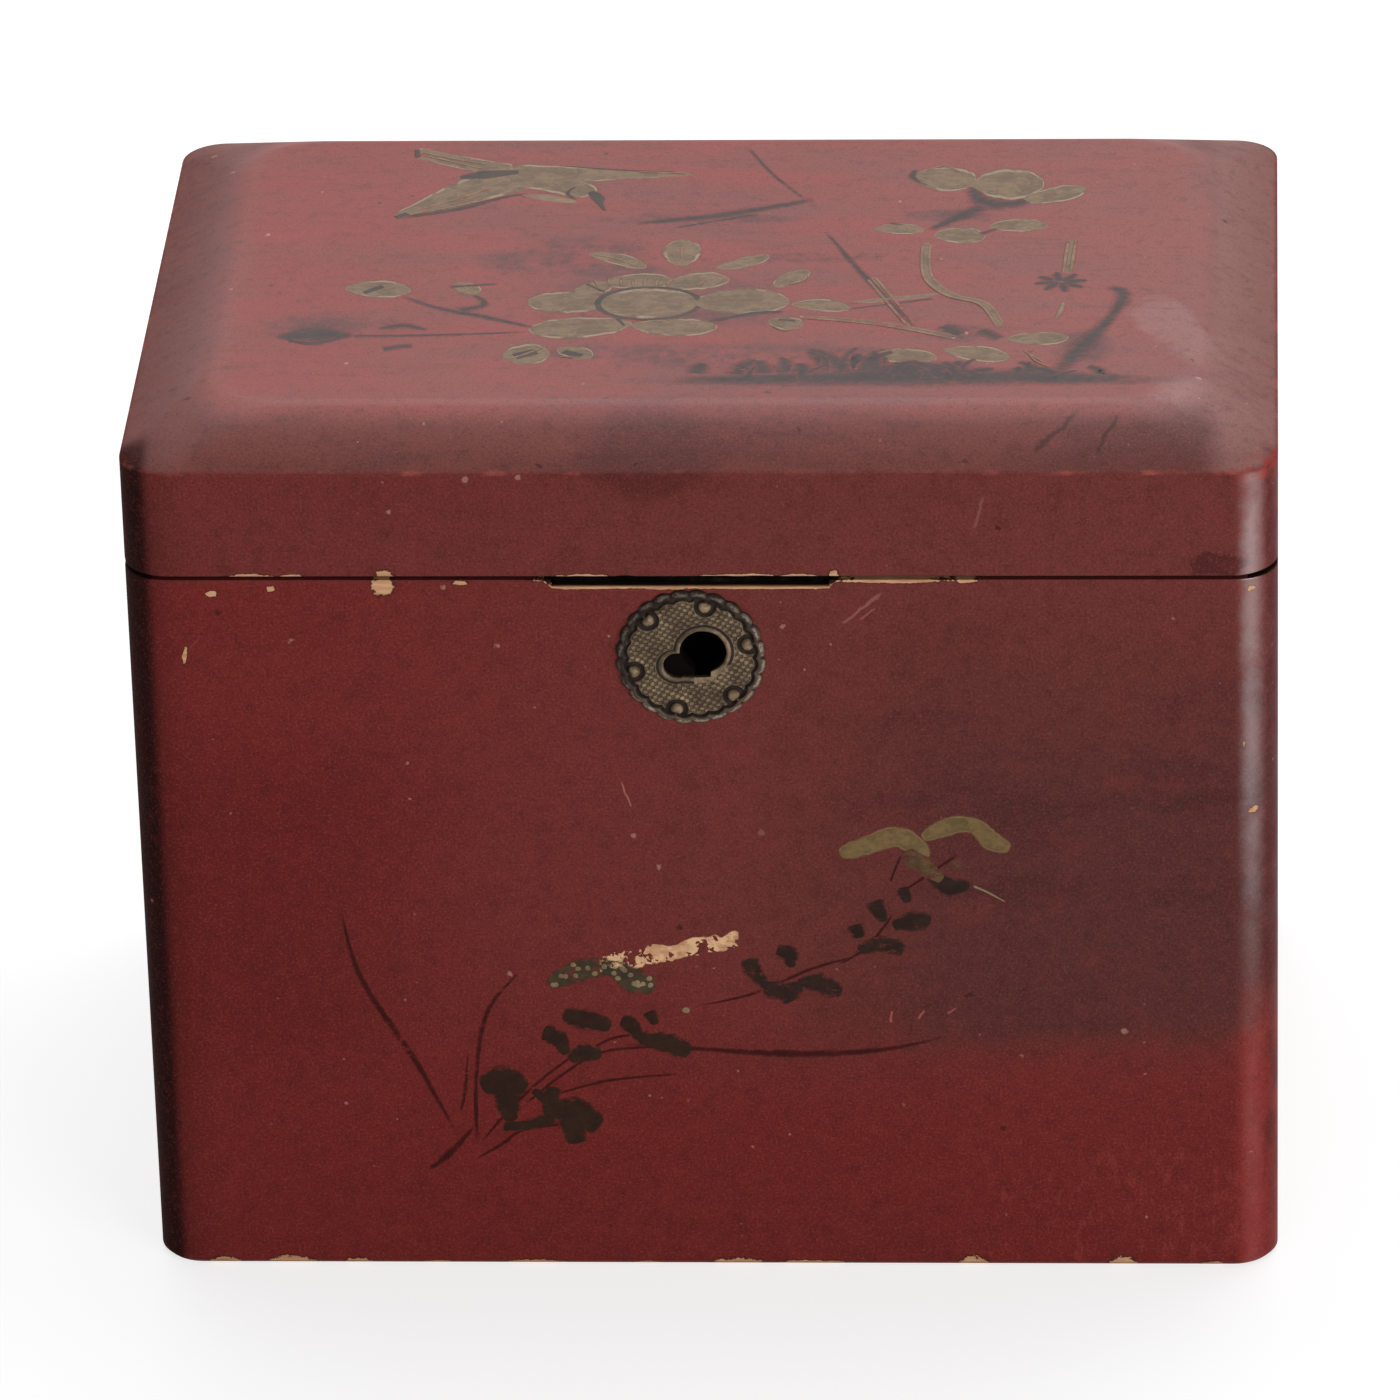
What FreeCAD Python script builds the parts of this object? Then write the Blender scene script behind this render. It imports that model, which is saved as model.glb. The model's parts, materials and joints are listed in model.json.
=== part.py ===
import FreeCAD, Part
import math
import os
from FreeCAD import Vector

# Tea caddy: a lacquered softwood box with a hinged, cushion-topped lid, a small box lock behind
# a stamped round escutcheon, a tinned liner and a loose inner lid with a turned knob.
# Frame: millimetres, +Z up, the front faces -Y, origin at the middle of the underside.

# ---- carcass ------------------------------------------------------------------------------
width = 160.0                  # across the front
depth = 109.5                  # front to back
box_height = 109.8             # underside to the top of the walls
wall = 7.5                     # thickness of the side boards and lid rails
bottom_thickness = 7.0
corner_radius = 6.3            # upright corners, rounded in plan
foot_ease = 0.8                # small bevel along the bottom edge
lap = 3.0                      # wood left where a front or back board laps a side board
peg_side = 2.0                 # square bamboo pegs through the laps
peg_length = 15.0
peg_rows = 3                   # pegs up each corner of the box
peg_end = 14.0                 # from the board's end to the first peg
glue_gap = 0.02                # round a driven peg, pin or screw
housing_play = 0.05            # round metalwork let into the wood
overcut = 1.0                  # how far a cutting tool runs past what it cuts

# ---- lid ----------------------------------------------------------------------------------
seam_gap = 0.7                 # daylight between the walls and the lid
lid_band = 15.7                # upright band of the lid, up to its arris
lid_board_edge = 4.0           # part of that band which is the top board's own edge
cushion_rise = 5.6             # arris to the flat of the top
cushion_inset = 12.6           # face to where the flat begins
cushion_slope = 26.0           # degrees, of the straight part of the slope
hip_growth = 0.43              # how fast the plan corners open out as the top rises
cushion_rings = 3              # facets in the round between the slope and the flat

# ---- liner and inner lid ------------------------------------------------------------------
liner_sheet = 0.5
liner_play = 0.3               # between the liner and the boards
liner_top = 15.0               # from the top of the walls down to the liner's rolled edge
liner_bead_radius = 1.0
inner_lid_play = 0.5
inner_lid_board = 4.6          # thickness over the bead
inner_lid_plug = 3.0           # how far its underside drops inside the bead
inner_lid_seat = 0.2
inner_lid_round = 0.8          # along the board's upper edges
knob_tenon = 1.9
knob_profile = [(0.0, 3.7), (0.9, 3.7), (1.9, 2.6), (3.0, 2.9), (4.2, 4.7), (5.6, 5.2), (7.4, 4.7),
                (8.8, 2.8), (9.4, 0.8)]            # (height over the board, radius)
knob_sides = 32

# ---- hinges -------------------------------------------------------------------------------
hinge_spacing = 96.0           # between the middles of the two hinges
hinge_length = 18.0
hinge_leaf = 1.0               # sheet thickness
hinge_set_in = 2.2             # from the back face in to the pin's centre
hinge_leaf_width = 4.8         # from the pin's centre to the leaf's edge
hinge_knuckle_radius = 1.5
hinge_knuckles = 3
hinge_knuckle_gap = 0.15
hinge_pin_radius = 0.7
hinge_pin_play = 0.04
hinge_pin_proud = 0.2          # past the outer knuckles
hinge_housing_play = 0.1       # between a leaf's end and the wood
hinge_relief = 0.25            # wood cut away round the knuckles
hinge_screws = 3
hinge_screw_reach = 3.1        # from the pin's centre to the row of screws
lid_stop = 101.0               # degrees of opening at which the bevelled back edges meet
screw_head_radius = 1.15
screw_head_depth = 0.75
screw_shank_radius = 0.65
screw_length = 5.0
screw_slot = 0.3
screw_tip = 1.2                # length of the point
screw_tip_radius = 0.2
round_sides = 8                # facets round a screw or a post

# ---- lock ---------------------------------------------------------------------------------
lock_x = -1.1                  # middle of the lock plate
lock_plate_length = 38.6
lock_plate_height = 23.0
lock_sheet = 1.0
lock_screw_inset = 2.6         # from the plate's ends and its lower edge
lock_screw_drop = 5.0          # from its top edge to the upper screws
selvedge_set_back = 1.3        # front of the selvedge behind the front face
lip_loss = 0.9                 # how far the thin lip before the selvedge has broken down
case_length = 28.0
case_height = 17.5
case_sheet = 0.6
case_depth = 4.5
case_play = 0.2
key_x = 0.5                    # axis of the key
key_drop = 10.8                # below the top of the walls
key_hole_radius = 3.2          # in the wood and the lock case
key_slot_width = 2.6
key_slot_drop = 4.6
bolt_thickness = 1.2
bolt_travel = 4.0
bolt_bar = 2.1                 # height of the bar the key moves
bolt_bar_over_key = 2.7        # key axis to the underside of the bar
bolt_bar_right = 9.1           # from the middle of the lock to the bar's right end
bolt_play = 0.3                # from the case's left wall to the bolt
bolt_shoulder = 8.7
bolt_finger_height = 2.2
bolt_finger_gap = 1.2          # from the bar up to the finger
bolt_talon_width = 3.0
bolt_talon_depth = 1.5
bolt_finger_clear = 0.75       # between the finger's end and the staple when drawn back
staple_x = 0.0
staple_thickness = 0.9
staple_width = 3.0
staple_leg = 0.6
staple_foot = 0.6
staple_play = 0.35
post_radius = 0.9
post_rivet_radius = 0.55
post_rivet_root = 0.5          # of the rivet's end that lies inside the post
post_inset = 2.2               # from the case's right wall, and up from its floor
post_left_inset = 1.8          # from the bolt's left end
bolt_rest_gap = 0.3            # between the bar and the post below it
guide_set_back = 2.45          # from the bolt's shoulder to the post in its slot
guide_play = 0.1
spring_thickness = 0.35
spring_width = 1.6
spring_length = 8.0
spring_foot = 1.6              # flat part under the selvedge
spring_dip = 5.6               # along the strip to where it bears on the bolt
spring_play = 0.1
link_plate_length = 32.0
link_plate_sheet = 0.8
link_plate_proud = 0.4
link_screw_inset = 3.0         # from the plate's ends

# ---- escutcheon ---------------------------------------------------------------------------
plate_radius = 10.5
plate_lobes = 24
plate_lobe_rise = 0.4
lobe_steps = 3                 # straight steps that each lobe is cut in
plate_thickness = 0.8
plate_rim_width = 1.15
plate_rim_edge = 0.3           # thickness at the very edge
boss_circle = 8.25
boss_count = 6
boss_radius = 0.75
boss_rise = 0.4
boss_root = 0.2                # of each raised part that lies inside the plate
boss_turn = 15.0               # degrees from the keyhole's slot to the nearest boss
plate_turn = -60.0             # degrees that the plate has worked round from upright
plate_hole_radius = 3.05
plate_slot_radius = 1.95
plate_hole_up = 2.0            # round of the keyhole above the plate's centre
plate_slot_down = 2.2          # round end of its slot below the centre
plate_lip_width = 0.55
plate_lip_rise = 0.22
worn_notch_left = 3.0          # brass worn away under the key's shank, from the key's axis
worn_notch_right = 1.0
worn_notch_drop = 3.9
spike_radius = 0.4
spike_length = 1.5
spike_reach = 7.4

# ---- worked out from the sizes above --------------------------------------------------------
front_y = -depth / 2
back_y = depth / 2
lid_z = box_height + seam_gap
arris_z = lid_z + lid_band
top_z = arris_z + cushion_rise
lid_board_z = arris_z - lid_board_edge
inner_x = width / 2 - wall
inner_y = depth / 2 - wall
plate_y = -inner_y - lock_sheet        # front of the lock plate
case_y = plate_y - case_depth          # front of the lock case
case_z = box_height - lock_sheet - case_height
selvedge_y = front_y + selvedge_set_back
key_z = box_height - key_drop
bolt_z = key_z + bolt_bar_over_key
hinge_y = back_y - hinge_set_in
hinge_z = box_height + seam_gap / 2
liner_z = box_height - liner_top       # top of the rolled edge


def block(x0, x1, y0, y1, z0, z1):
    """A box between two corners."""
    return Part.makeBox(x1 - x0, y1 - y0, z1 - z0, Vector(x0, y0, z0))


def rod(radius, length, start, axis):
    """A round rod from start along axis."""
    return Part.makeCylinder(radius, length, start, axis)


def single(shape):
    """The one solid inside a shape."""
    return max(shape.Solids, key=lambda s: s.Volume)


def joined(shapes):
    """All the shapes as one solid."""
    body = shapes[0]
    for shape in shapes[1:]:
        body = body.fuse(shape)
    return single(body.removeSplitter())


def outline(inset, radius, z):
    """The caddy's plan, inset all round, as a closed wire at height z."""
    hx = width / 2 - inset
    hy = depth / 2 - inset
    edges = []
    for sx, sy in ((1, 1), (-1, 1), (-1, -1), (1, -1)):
        cx, cy = sx * (hx - radius), sy * (hy - radius)
        start = Vector(cx + radius * sx, cy, z) if sx * sy > 0 else Vector(cx, cy + radius * sy, z)
        end = Vector(cx, cy + radius * sy, z) if sx * sy > 0 else Vector(cx + radius * sx, cy, z)
        mid = Vector(cx + radius * sx * math.sqrt(0.5), cy + radius * sy * math.sqrt(0.5), z)
        if edges:
            edges.append(Part.LineSegment(edges[-1].Vertexes[-1].Point, start).toShape())
        edges.append(Part.Arc(start, mid, end).toShape())
    edges.append(Part.LineSegment(edges[-1].Vertexes[-1].Point, edges[0].Vertexes[0].Point).toShape())
    return Part.Wire(edges)


def faceted(rings):
    """A solid skinned through rings of points, with flat facets and flat ends."""
    faces = [Part.Face(Part.makePolygon(ring + ring[:1])) for ring in (rings[0], rings[-1])]
    for low, high in zip(rings, rings[1:]):
        for i in range(len(low)):
            j = (i + 1) % len(low)
            a, b, c, d = low[i], low[j], high[j], high[i]
            across = (b - a).cross(d - a).normalize()
            corners = [[a, b, c, d, a]] if abs(across.dot(c - a)) < 1e-7 else [[a, b, c, a], [a, c, d, a]]
            faces += [Part.Face(Part.makePolygon(points)) for points in corners]
    solid = Part.makeSolid(Part.makeShell(faces))
    if solid.Volume < 0:
        solid.reverse()
    return solid


def plan_prism(z0, z1, inset=0.0, radius=corner_radius):
    """The rounded plan between two heights."""
    return Part.Face(outline(inset, radius, z0)).extrude(Vector(0, 0, z1 - z0))


def turned(start, axis, profile, sides=round_sides):
    """A small turned piece with faceted sides; profile lists (distance along axis, radius)."""
    askew = Vector(0.6, 0.48, 0.64)                # any direction that no axis lies along
    side = axis.cross(askew).normalize()
    up = axis.cross(side)
    rings = []
    for along, radius in profile:
        angles = [2 * math.pi * i / sides for i in range(sides)]
        rings.append([start + axis * along + side * (radius * math.cos(t)) + up * (radius * math.sin(t))
                      for t in angles])
    return faceted(rings)


def screw(head, axis, play=0.0):
    """A countersunk wood screw whose head lies flush at a point; play grows it into its hole."""
    shank = screw_shank_radius + play
    return turned(head, axis, [(0, screw_head_radius + play), (screw_head_depth + play, shank),
                               (screw_length - screw_tip + play, shank),
                               (screw_length + play, screw_tip_radius)])


def slotted(screw_body, head, axis, across):
    """Cuts the driver's slot across a screw's head."""
    side = axis.cross(across)
    reach = screw_head_radius + overcut
    start = head - axis * overcut - across * reach - side * (screw_slot / 2)
    corners = [start, start + across * 2 * reach, start + across * 2 * reach + side * screw_slot,
               start + side * screw_slot]
    face = Part.Face(Part.makePolygon(corners + [start]))
    return screw_body.cut(face.extrude(axis * (screw_slot + overcut)))


# ---- box boards -----------------------------------------------------------------------------
def corner_pegs(z_low, z_high, rows, play=0.0):
    """Bamboo pegs driven in from the front and back through the laps into the sides."""
    pegs = []
    span = z_high - z_low
    for row in range(rows):
        z = z_low + span / 2 if rows == 1 else z_low + peg_end + row * (span - 2 * peg_end) / (rows - 1)
        for sx in (-1, 1):
            for sy in (-1, 1):
                x, half = sx * (width / 2 - wall / 2), peg_side / 2 + play
                ys = sorted((sy * (depth / 2 + overcut), sy * (depth / 2 - peg_length - play)))
                pegs.append(block(x - half, x + half, ys[0], ys[1], z - half, z + half))
    prism = plan_prism(z_low - overcut, z_high + overcut)
    return [p.common(prism) for p in pegs]


def boards(z0, z1, rows):
    """Front, back, left and right boards of a frame whose long boards lap over the short ones."""
    prism = plan_prism(z0, z1)
    holes = Part.makeCompound(corner_pegs(z0, z1, rows, glue_gap))
    made = {}
    for name, sy in (("front", -1), ("back", 1)):
        ys = sorted((sy * depth / 2, sy * inner_y))
        board = block(-width / 2, width / 2, ys[0], ys[1], z0, z1).common(prism)
        lapped = sorted((sy * (depth / 2 - lap), sy * inner_y))
        for sx in (-1, 1):
            xs = sorted((sx * inner_x, sx * width / 2))
            board = board.cut(block(xs[0], xs[1], lapped[0], lapped[1], z0, z1))
        made[name] = board.cut(holes)
    for name, sx in (("left", -1), ("right", 1)):
        xs = sorted((sx * inner_x, sx * width / 2))
        board = block(xs[0], xs[1], -depth / 2 + lap, depth / 2 - lap, z0, z1).common(prism)
        made[name] = board.cut(holes)
    return made


def bottom_board():
    """The bottom, glued under the walls, with its lower edge eased."""
    board = plan_prism(0, bottom_thickness)
    low = [e for e in board.Edges if abs(e.BoundBox.ZMax) < 1e-6]
    return board.makeChamfer(foot_ease, low)


# ---- lid top --------------------------------------------------------------------------------
def cushion_sections():
    """Inset and height of the sections up the cushion: a straight slope, then a round to the flat."""
    slope = math.radians(cushion_slope)
    # The straight run and the arc's radius that together give the inset and the rise.
    a, b = math.sin(slope), 1 - math.cos(slope)
    c, d = math.cos(slope), math.sin(slope)
    run = (cushion_rise * d - cushion_inset * b) / (a * d - b * c)
    radius = (cushion_inset * a - cushion_rise * c) / (a * d - b * c)
    sections = [(0.0, arris_z), (run * c, arris_z + run * a)]
    for step in range(1, cushion_rings + 1):
        turn = slope * (1 - step / cushion_rings)
        sections.append((cushion_inset - radius * math.sin(turn),
                         top_z - radius * (1 - math.cos(turn))))
    return sections


def cushion_wire(inset, z):
    """One section of the cushion; its plan corners open out as it goes in."""
    return outline(inset, corner_radius + hip_growth * inset, z)


def lid_top_board():
    """The thick top board: an upright edge, an arris, and a cushion worked all round."""
    edge = plan_prism(lid_board_z, arris_z)
    cushion = Part.makeLoft([cushion_wire(*section) for section in cushion_sections()], True, True)
    return joined([edge, cushion])


# ---- liner and inner lid --------------------------------------------------------------------
def tin_liner():
    """A folded and soldered tray of tinned sheet with a rolled edge."""
    hx, hy = inner_x - liner_play, inner_y - liner_play
    sheet_top = liner_z - liner_bead_radius
    tray = block(-hx, hx, -hy, hy, bottom_thickness, sheet_top)
    tray = tray.cut(block(-hx + liner_sheet, hx - liner_sheet, -hy + liner_sheet, hy - liner_sheet,
                          bottom_thickness + liner_sheet, box_height))
    parts = [tray]
    r = liner_bead_radius
    for s in (-1, 1):
        parts.append(rod(r, 2 * hx, Vector(-hx, s * (hy - r), sheet_top), Vector(1, 0, 0)))
        parts.append(rod(r, 2 * hy, Vector(s * (hx - r), -hy, sheet_top), Vector(0, 1, 0)))
    return joined(parts)


def inner_lid_z():
    """Underside of the inner lid's board, just over the rolled edge."""
    return liner_z + inner_lid_seat


def inner_lid():
    """A flat board that rests on the rolled edge, with a plug below and a tenon hole for the knob."""
    z = inner_lid_z()
    hx, hy = inner_x - inner_lid_play, inner_y - inner_lid_play
    board = block(-hx, hx, -hy, hy, z, z + inner_lid_board)
    top = [e for e in board.Edges if abs(e.BoundBox.ZMin - (z + inner_lid_board)) < 1e-6]
    board = board.makeFillet(inner_lid_round, top)
    inset = liner_play + 2 * liner_bead_radius + inner_lid_play
    px, py = inner_x - inset, inner_y - inset
    plug = block(-px, px, -py, py, z - inner_lid_plug, z)
    hole = rod(knob_tenon + glue_gap, inner_lid_board + inner_lid_plug + 2 * overcut,
               Vector(0, 0, z - inner_lid_plug - overcut), Vector(0, 0, 1))
    return joined([board, plug]).cut(hole)


def inner_lid_knob():
    """A turned knob: foot, hollow neck and a flattened ball, on a tenon through the board."""
    seat = Vector(0, 0, inner_lid_z() + inner_lid_board)
    tenon = [(-inner_lid_board - inner_lid_plug, knob_tenon), (0, knob_tenon)]
    return turned(seat, Vector(0, 0, 1), tenon + knob_profile, knob_sides)


# ---- hinges ---------------------------------------------------------------------------------
def knuckle_spans(x):
    """Start and end of each knuckle of the hinge whose middle is at x."""
    pitch = hinge_length / hinge_knuckles
    start = x - hinge_length / 2
    return [(start + i * pitch, start + (i + 1) * pitch) for i in range(hinge_knuckles)]


def hinge_screw_points(x, z):
    """Where a leaf's screw heads lie."""
    pitch = hinge_length / hinge_screws
    y = hinge_y - hinge_screw_reach
    return [Vector(x + (i - (hinge_screws - 1) / 2) * pitch, y, z) for i in range(hinge_screws)]


def hinge_leaf_solid(x, on_lid):
    """One leaf: a flat plate let into the wood, with its own share of the knuckles."""
    z0, z1 = (lid_z, lid_z + hinge_leaf) if on_lid else (box_height - hinge_leaf, box_height)
    half = hinge_length / 2
    leaf = block(x - half, x + half, hinge_y - hinge_leaf_width, hinge_y, z0, z1)
    axis = Vector(1, 0, 0)
    barrel = rod(hinge_knuckle_radius + hinge_relief / 2, hinge_length + 2 * overcut,
                 Vector(x - half - overcut, hinge_y, hinge_z), axis)
    leaf = leaf.cut(barrel)
    parts = [leaf]
    for i, (a, b) in enumerate(knuckle_spans(x)):
        if (i % 2 == 1) != on_lid:
            continue
        a, b = a + hinge_knuckle_gap / 2, b - hinge_knuckle_gap / 2
        parts.append(rod(hinge_knuckle_radius, b - a, Vector(a, hinge_y, hinge_z), axis))
        parts.append(block(a, b, hinge_y - hinge_leaf_width, hinge_y, z0, z1))
    leaf = joined(parts)
    bore = rod(hinge_pin_radius + hinge_pin_play, hinge_length + 2 * overcut,
               Vector(x - half - overcut, hinge_y, hinge_z), axis)
    leaf = leaf.cut(bore)
    down = Vector(0, 0, 1 if on_lid else -1)
    for p in hinge_screw_points(x, lid_z if on_lid else box_height):
        leaf = leaf.cut(screw(p, down, play=glue_gap))
    return leaf


def hinge_pin(x):
    """The hinge's pin, cut off just proud of the outer knuckles."""
    half = hinge_length / 2 + hinge_pin_proud
    return rod(hinge_pin_radius, 2 * half, Vector(x - half, hinge_y, hinge_z), Vector(1, 0, 0))


def hinge_cut(x, on_lid):
    """Wood to remove for a leaf and for the barrel."""
    half = hinge_length / 2 + hinge_housing_play
    z0, z1 = ((lid_z - overcut, lid_z + hinge_leaf) if on_lid
              else (box_height - hinge_leaf, box_height + overcut))
    housing = block(x - half, x + half, hinge_y - hinge_leaf_width - housing_play, back_y + overcut, z0, z1)
    reach = half + hinge_pin_proud + hinge_relief
    barrel = rod(hinge_knuckle_radius + hinge_relief, 2 * reach, Vector(x - reach, hinge_y, hinge_z),
                 Vector(1, 0, 0))
    return housing.fuse(barrel)


# ---- lock -----------------------------------------------------------------------------------
def keyhole(y0, y1, play=0.0):
    """The keyhole as a cutting tool: a round with a slot below, along Y."""
    hole = rod(key_hole_radius + play, y1 - y0, Vector(key_x, y0, key_z), Vector(0, 1, 0))
    half = key_slot_width / 2 + play
    slot = block(key_x - half, key_x + half, y0, y1, key_z - key_slot_drop - play, key_z)
    return hole.fuse(slot)


def lock_screw_points():
    """Heads of the lock plate's four screws, on the inner face of the front board."""
    dx = lock_plate_length / 2 - lock_screw_inset
    high = box_height - lock_screw_drop
    low = box_height - lock_plate_height + lock_screw_inset
    return [Vector(lock_x + sx * dx, -inner_y, z) for sx in (-1, 1) for z in (low, high)]


def selvedge_slot(play):
    """Opening in the selvedge for the lid's staple."""
    half_x = staple_thickness / 2 + play
    half_y = staple_width / 2 + play
    mid = (case_y + case_sheet + plate_y) / 2
    return block(staple_x - half_x, staple_x + half_x, mid - half_y, mid + half_y,
                 box_height - lock_sheet - overcut, box_height + overcut)


def lock_plate():
    """Back plate and selvedge in one folded piece of brass."""
    x0, x1 = lock_x - lock_plate_length / 2, lock_x + lock_plate_length / 2
    plate = block(x0, x1, plate_y, -inner_y, box_height - lock_plate_height, box_height)
    selvedge = block(x0, x1, selvedge_y, -inner_y, box_height - lock_sheet, box_height)
    body = joined([plate, selvedge]).cut(selvedge_slot(staple_play))
    for p in lock_screw_points():
        body = body.cut(screw(p, Vector(0, -1, 0), play=glue_gap))
    for p in lock_post_points():
        body = body.cut(lock_post(p, glue_gap))
    return body


def lock_case():
    """A shallow box of sheet brass, open to the back plate and the selvedge."""
    x0, x1 = lock_x - case_length / 2, lock_x + case_length / 2
    z1 = box_height - lock_sheet
    case = block(x0, x1, case_y, plate_y, case_z, z1)
    case = case.cut(block(x0 + case_sheet, x1 - case_sheet, case_y + case_sheet, plate_y,
                          case_z + case_sheet, z1))
    return case.cut(keyhole(case_y - overcut, case_y + case_sheet + overcut))


def bolt_x():
    """Left end of the bolt when it is drawn back."""
    return lock_x - case_length / 2 + case_sheet + bolt_play


def bolt_y():
    """Front face of the bolt."""
    return (case_y + case_sheet + plate_y) / 2 - bolt_thickness / 2


def lock_post_points():
    """Front ends of the posts between the case and the plate: guide, rest and two rivets."""
    y = case_y + case_sheet
    finger_z = bolt_z + bolt_bar + bolt_finger_gap
    right = lock_x + case_length / 2 - case_sheet - post_inset
    low = case_z + case_sheet + post_inset
    return [Vector(bolt_x() + bolt_shoulder - guide_set_back, y, finger_z),
            Vector(right, y, bolt_z - post_radius - bolt_rest_gap),
            Vector(bolt_x() + post_left_inset, y, low),
            Vector(right, y, low)]


def lock_post(start, play=0.0):
    """One post, with its thinner end through the plate; play grows that end into its hole."""
    reach = plate_y - start.y
    post = turned(start, Vector(0, 1, 0), [(0, post_radius), (reach, post_radius)])
    rivet = turned(start, Vector(0, 1, 0), [(reach - post_rivet_root, post_rivet_radius + play),
                                            (reach + lock_sheet + play, post_rivet_radius + play)])
    return joined([post, rivet])


def lock_posts():
    """Turned posts whose thin ends are riveted through the plate."""
    return Part.makeCompound([lock_post(p) for p in lock_post_points()])


def lock_bolt():
    """The bolt: a bar with the key's talon, a slotted shoulder and the finger for the staple."""
    x0 = bolt_x()
    y0, y1 = bolt_y(), bolt_y() + bolt_thickness
    shoulder_x = x0 + bolt_shoulder
    finger_z = bolt_z + bolt_bar + bolt_finger_gap
    top = finger_z + bolt_finger_height
    bar = block(x0, lock_x + bolt_bar_right, y0, y1, bolt_z, bolt_z + bolt_bar)
    shoulder = block(x0, shoulder_x, y0, y1, bolt_z, top)
    finger_end = staple_x - staple_thickness / 2 - bolt_finger_clear
    finger = block(shoulder_x - overcut, finger_end, y0, y1, finger_z, top)
    bolt = joined([bar, shoulder, finger])
    talon_x = key_x - bolt_travel / 2 - bolt_talon_width / 2
    y0, y1 = y0 - overcut, y1 + overcut
    talon = block(talon_x, talon_x + bolt_talon_width, y0, y1, bolt_z - overcut, bolt_z + bolt_talon_depth)
    guide = lock_post_points()[0]
    r = post_radius + guide_play
    slot = block(guide.x - bolt_travel, guide.x, y0, y1, guide.z - r, guide.z + r)
    ends = [rod(r, y1 - y0, Vector(guide.x - s, y0, guide.z), Vector(0, 1, 0))
            for s in (0, bolt_travel)]
    return bolt.cut(talon).cut(slot).cut(ends[0]).cut(ends[1])


def lock_spring():
    """A bent strip fixed under the selvedge that bears on the bolt's shoulder."""
    x0 = bolt_x() + spring_play
    high = box_height - lock_sheet
    low = bolt_z + bolt_bar + bolt_finger_gap + bolt_finger_height + spring_play
    t = spring_thickness
    mid = (low + high) / 2
    under = [Vector(x0, 0, high - t), Vector(x0 + spring_foot, 0, high - t),
             Vector(x0 + spring_dip, 0, low), Vector(x0 + spring_length, 0, mid)]
    over = [p + Vector(0, 0, t) for p in reversed(under)]
    face = Part.Face(Part.makePolygon(under + over + [under[0]]))
    strip = face.extrude(Vector(0, spring_width, 0))
    strip.translate(Vector(0, (case_y + case_sheet + plate_y - spring_width) / 2, 0))
    return strip


def link_plate_screw_points():
    """Heads of the link plate's screws, under the lid's front rail."""
    y = (front_y + selvedge_set_back - inner_y) / 2
    dx = link_plate_length / 2 - link_screw_inset
    return [Vector(lock_x + s * dx, y, lid_z - link_plate_proud) for s in (-1, 1)]


def link_plate():
    """The plate under the lid's front rail, with the staple that the bolt runs through."""
    half = link_plate_length / 2
    z = lid_z - link_plate_proud
    plate = block(lock_x - half, lock_x + half, selvedge_y, -inner_y, z, z + link_plate_sheet)
    mid = (case_y + case_sheet + plate_y) / 2
    finger_z = bolt_z + bolt_bar + bolt_finger_gap
    foot_z = finger_z - staple_play - staple_foot
    hx, hy = staple_thickness / 2, staple_width / 2
    staple = block(staple_x - hx, staple_x + hx, mid - hy, mid + hy, foot_z, z)
    window = block(staple_x - hx - overcut, staple_x + hx + overcut, mid - hy + staple_leg,
                   mid + hy - staple_leg, foot_z + staple_foot,
                   finger_z + bolt_finger_height + staple_play)
    body = joined([plate, staple]).cut(window)
    for p in link_plate_screw_points():
        body = body.cut(screw(p, Vector(0, 0, 1), play=glue_gap))
    return body


# ---- escutcheon -----------------------------------------------------------------------------
def plate_ring(radius, lobe_rise, y):
    """Points round the plate at one depth; between the lobes they lie lobe_rise further in."""
    points = []
    for i in range(plate_lobes * lobe_steps):
        part = i % lobe_steps / lobe_steps
        r = radius - lobe_rise * (1 - math.sin(math.pi * part))
        angle = 2 * math.pi * i / (plate_lobes * lobe_steps)
        points.append(Vector(r * math.sin(angle), y, r * math.cos(angle)))
    return points


def plate_keyhole(grow, y0, y1):
    """The plate's own keyhole, upright and centred on the plate, as a solid along Y."""
    hole = rod(plate_hole_radius + grow, y1 - y0, Vector(0, y0, plate_hole_up), Vector(0, 1, 0))
    slot = rod(plate_slot_radius + grow, y1 - y0, Vector(0, y0, -plate_slot_down), Vector(0, 1, 0))
    return hole.fuse(slot)


def escutcheon_centre():
    """Middle of the plate, so that its round hole lies on the key's axis as the plate is turned."""
    turn = math.radians(-plate_turn)
    return Vector(key_x - plate_hole_up * math.sin(turn), front_y, key_z - plate_hole_up * math.cos(turn))


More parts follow.
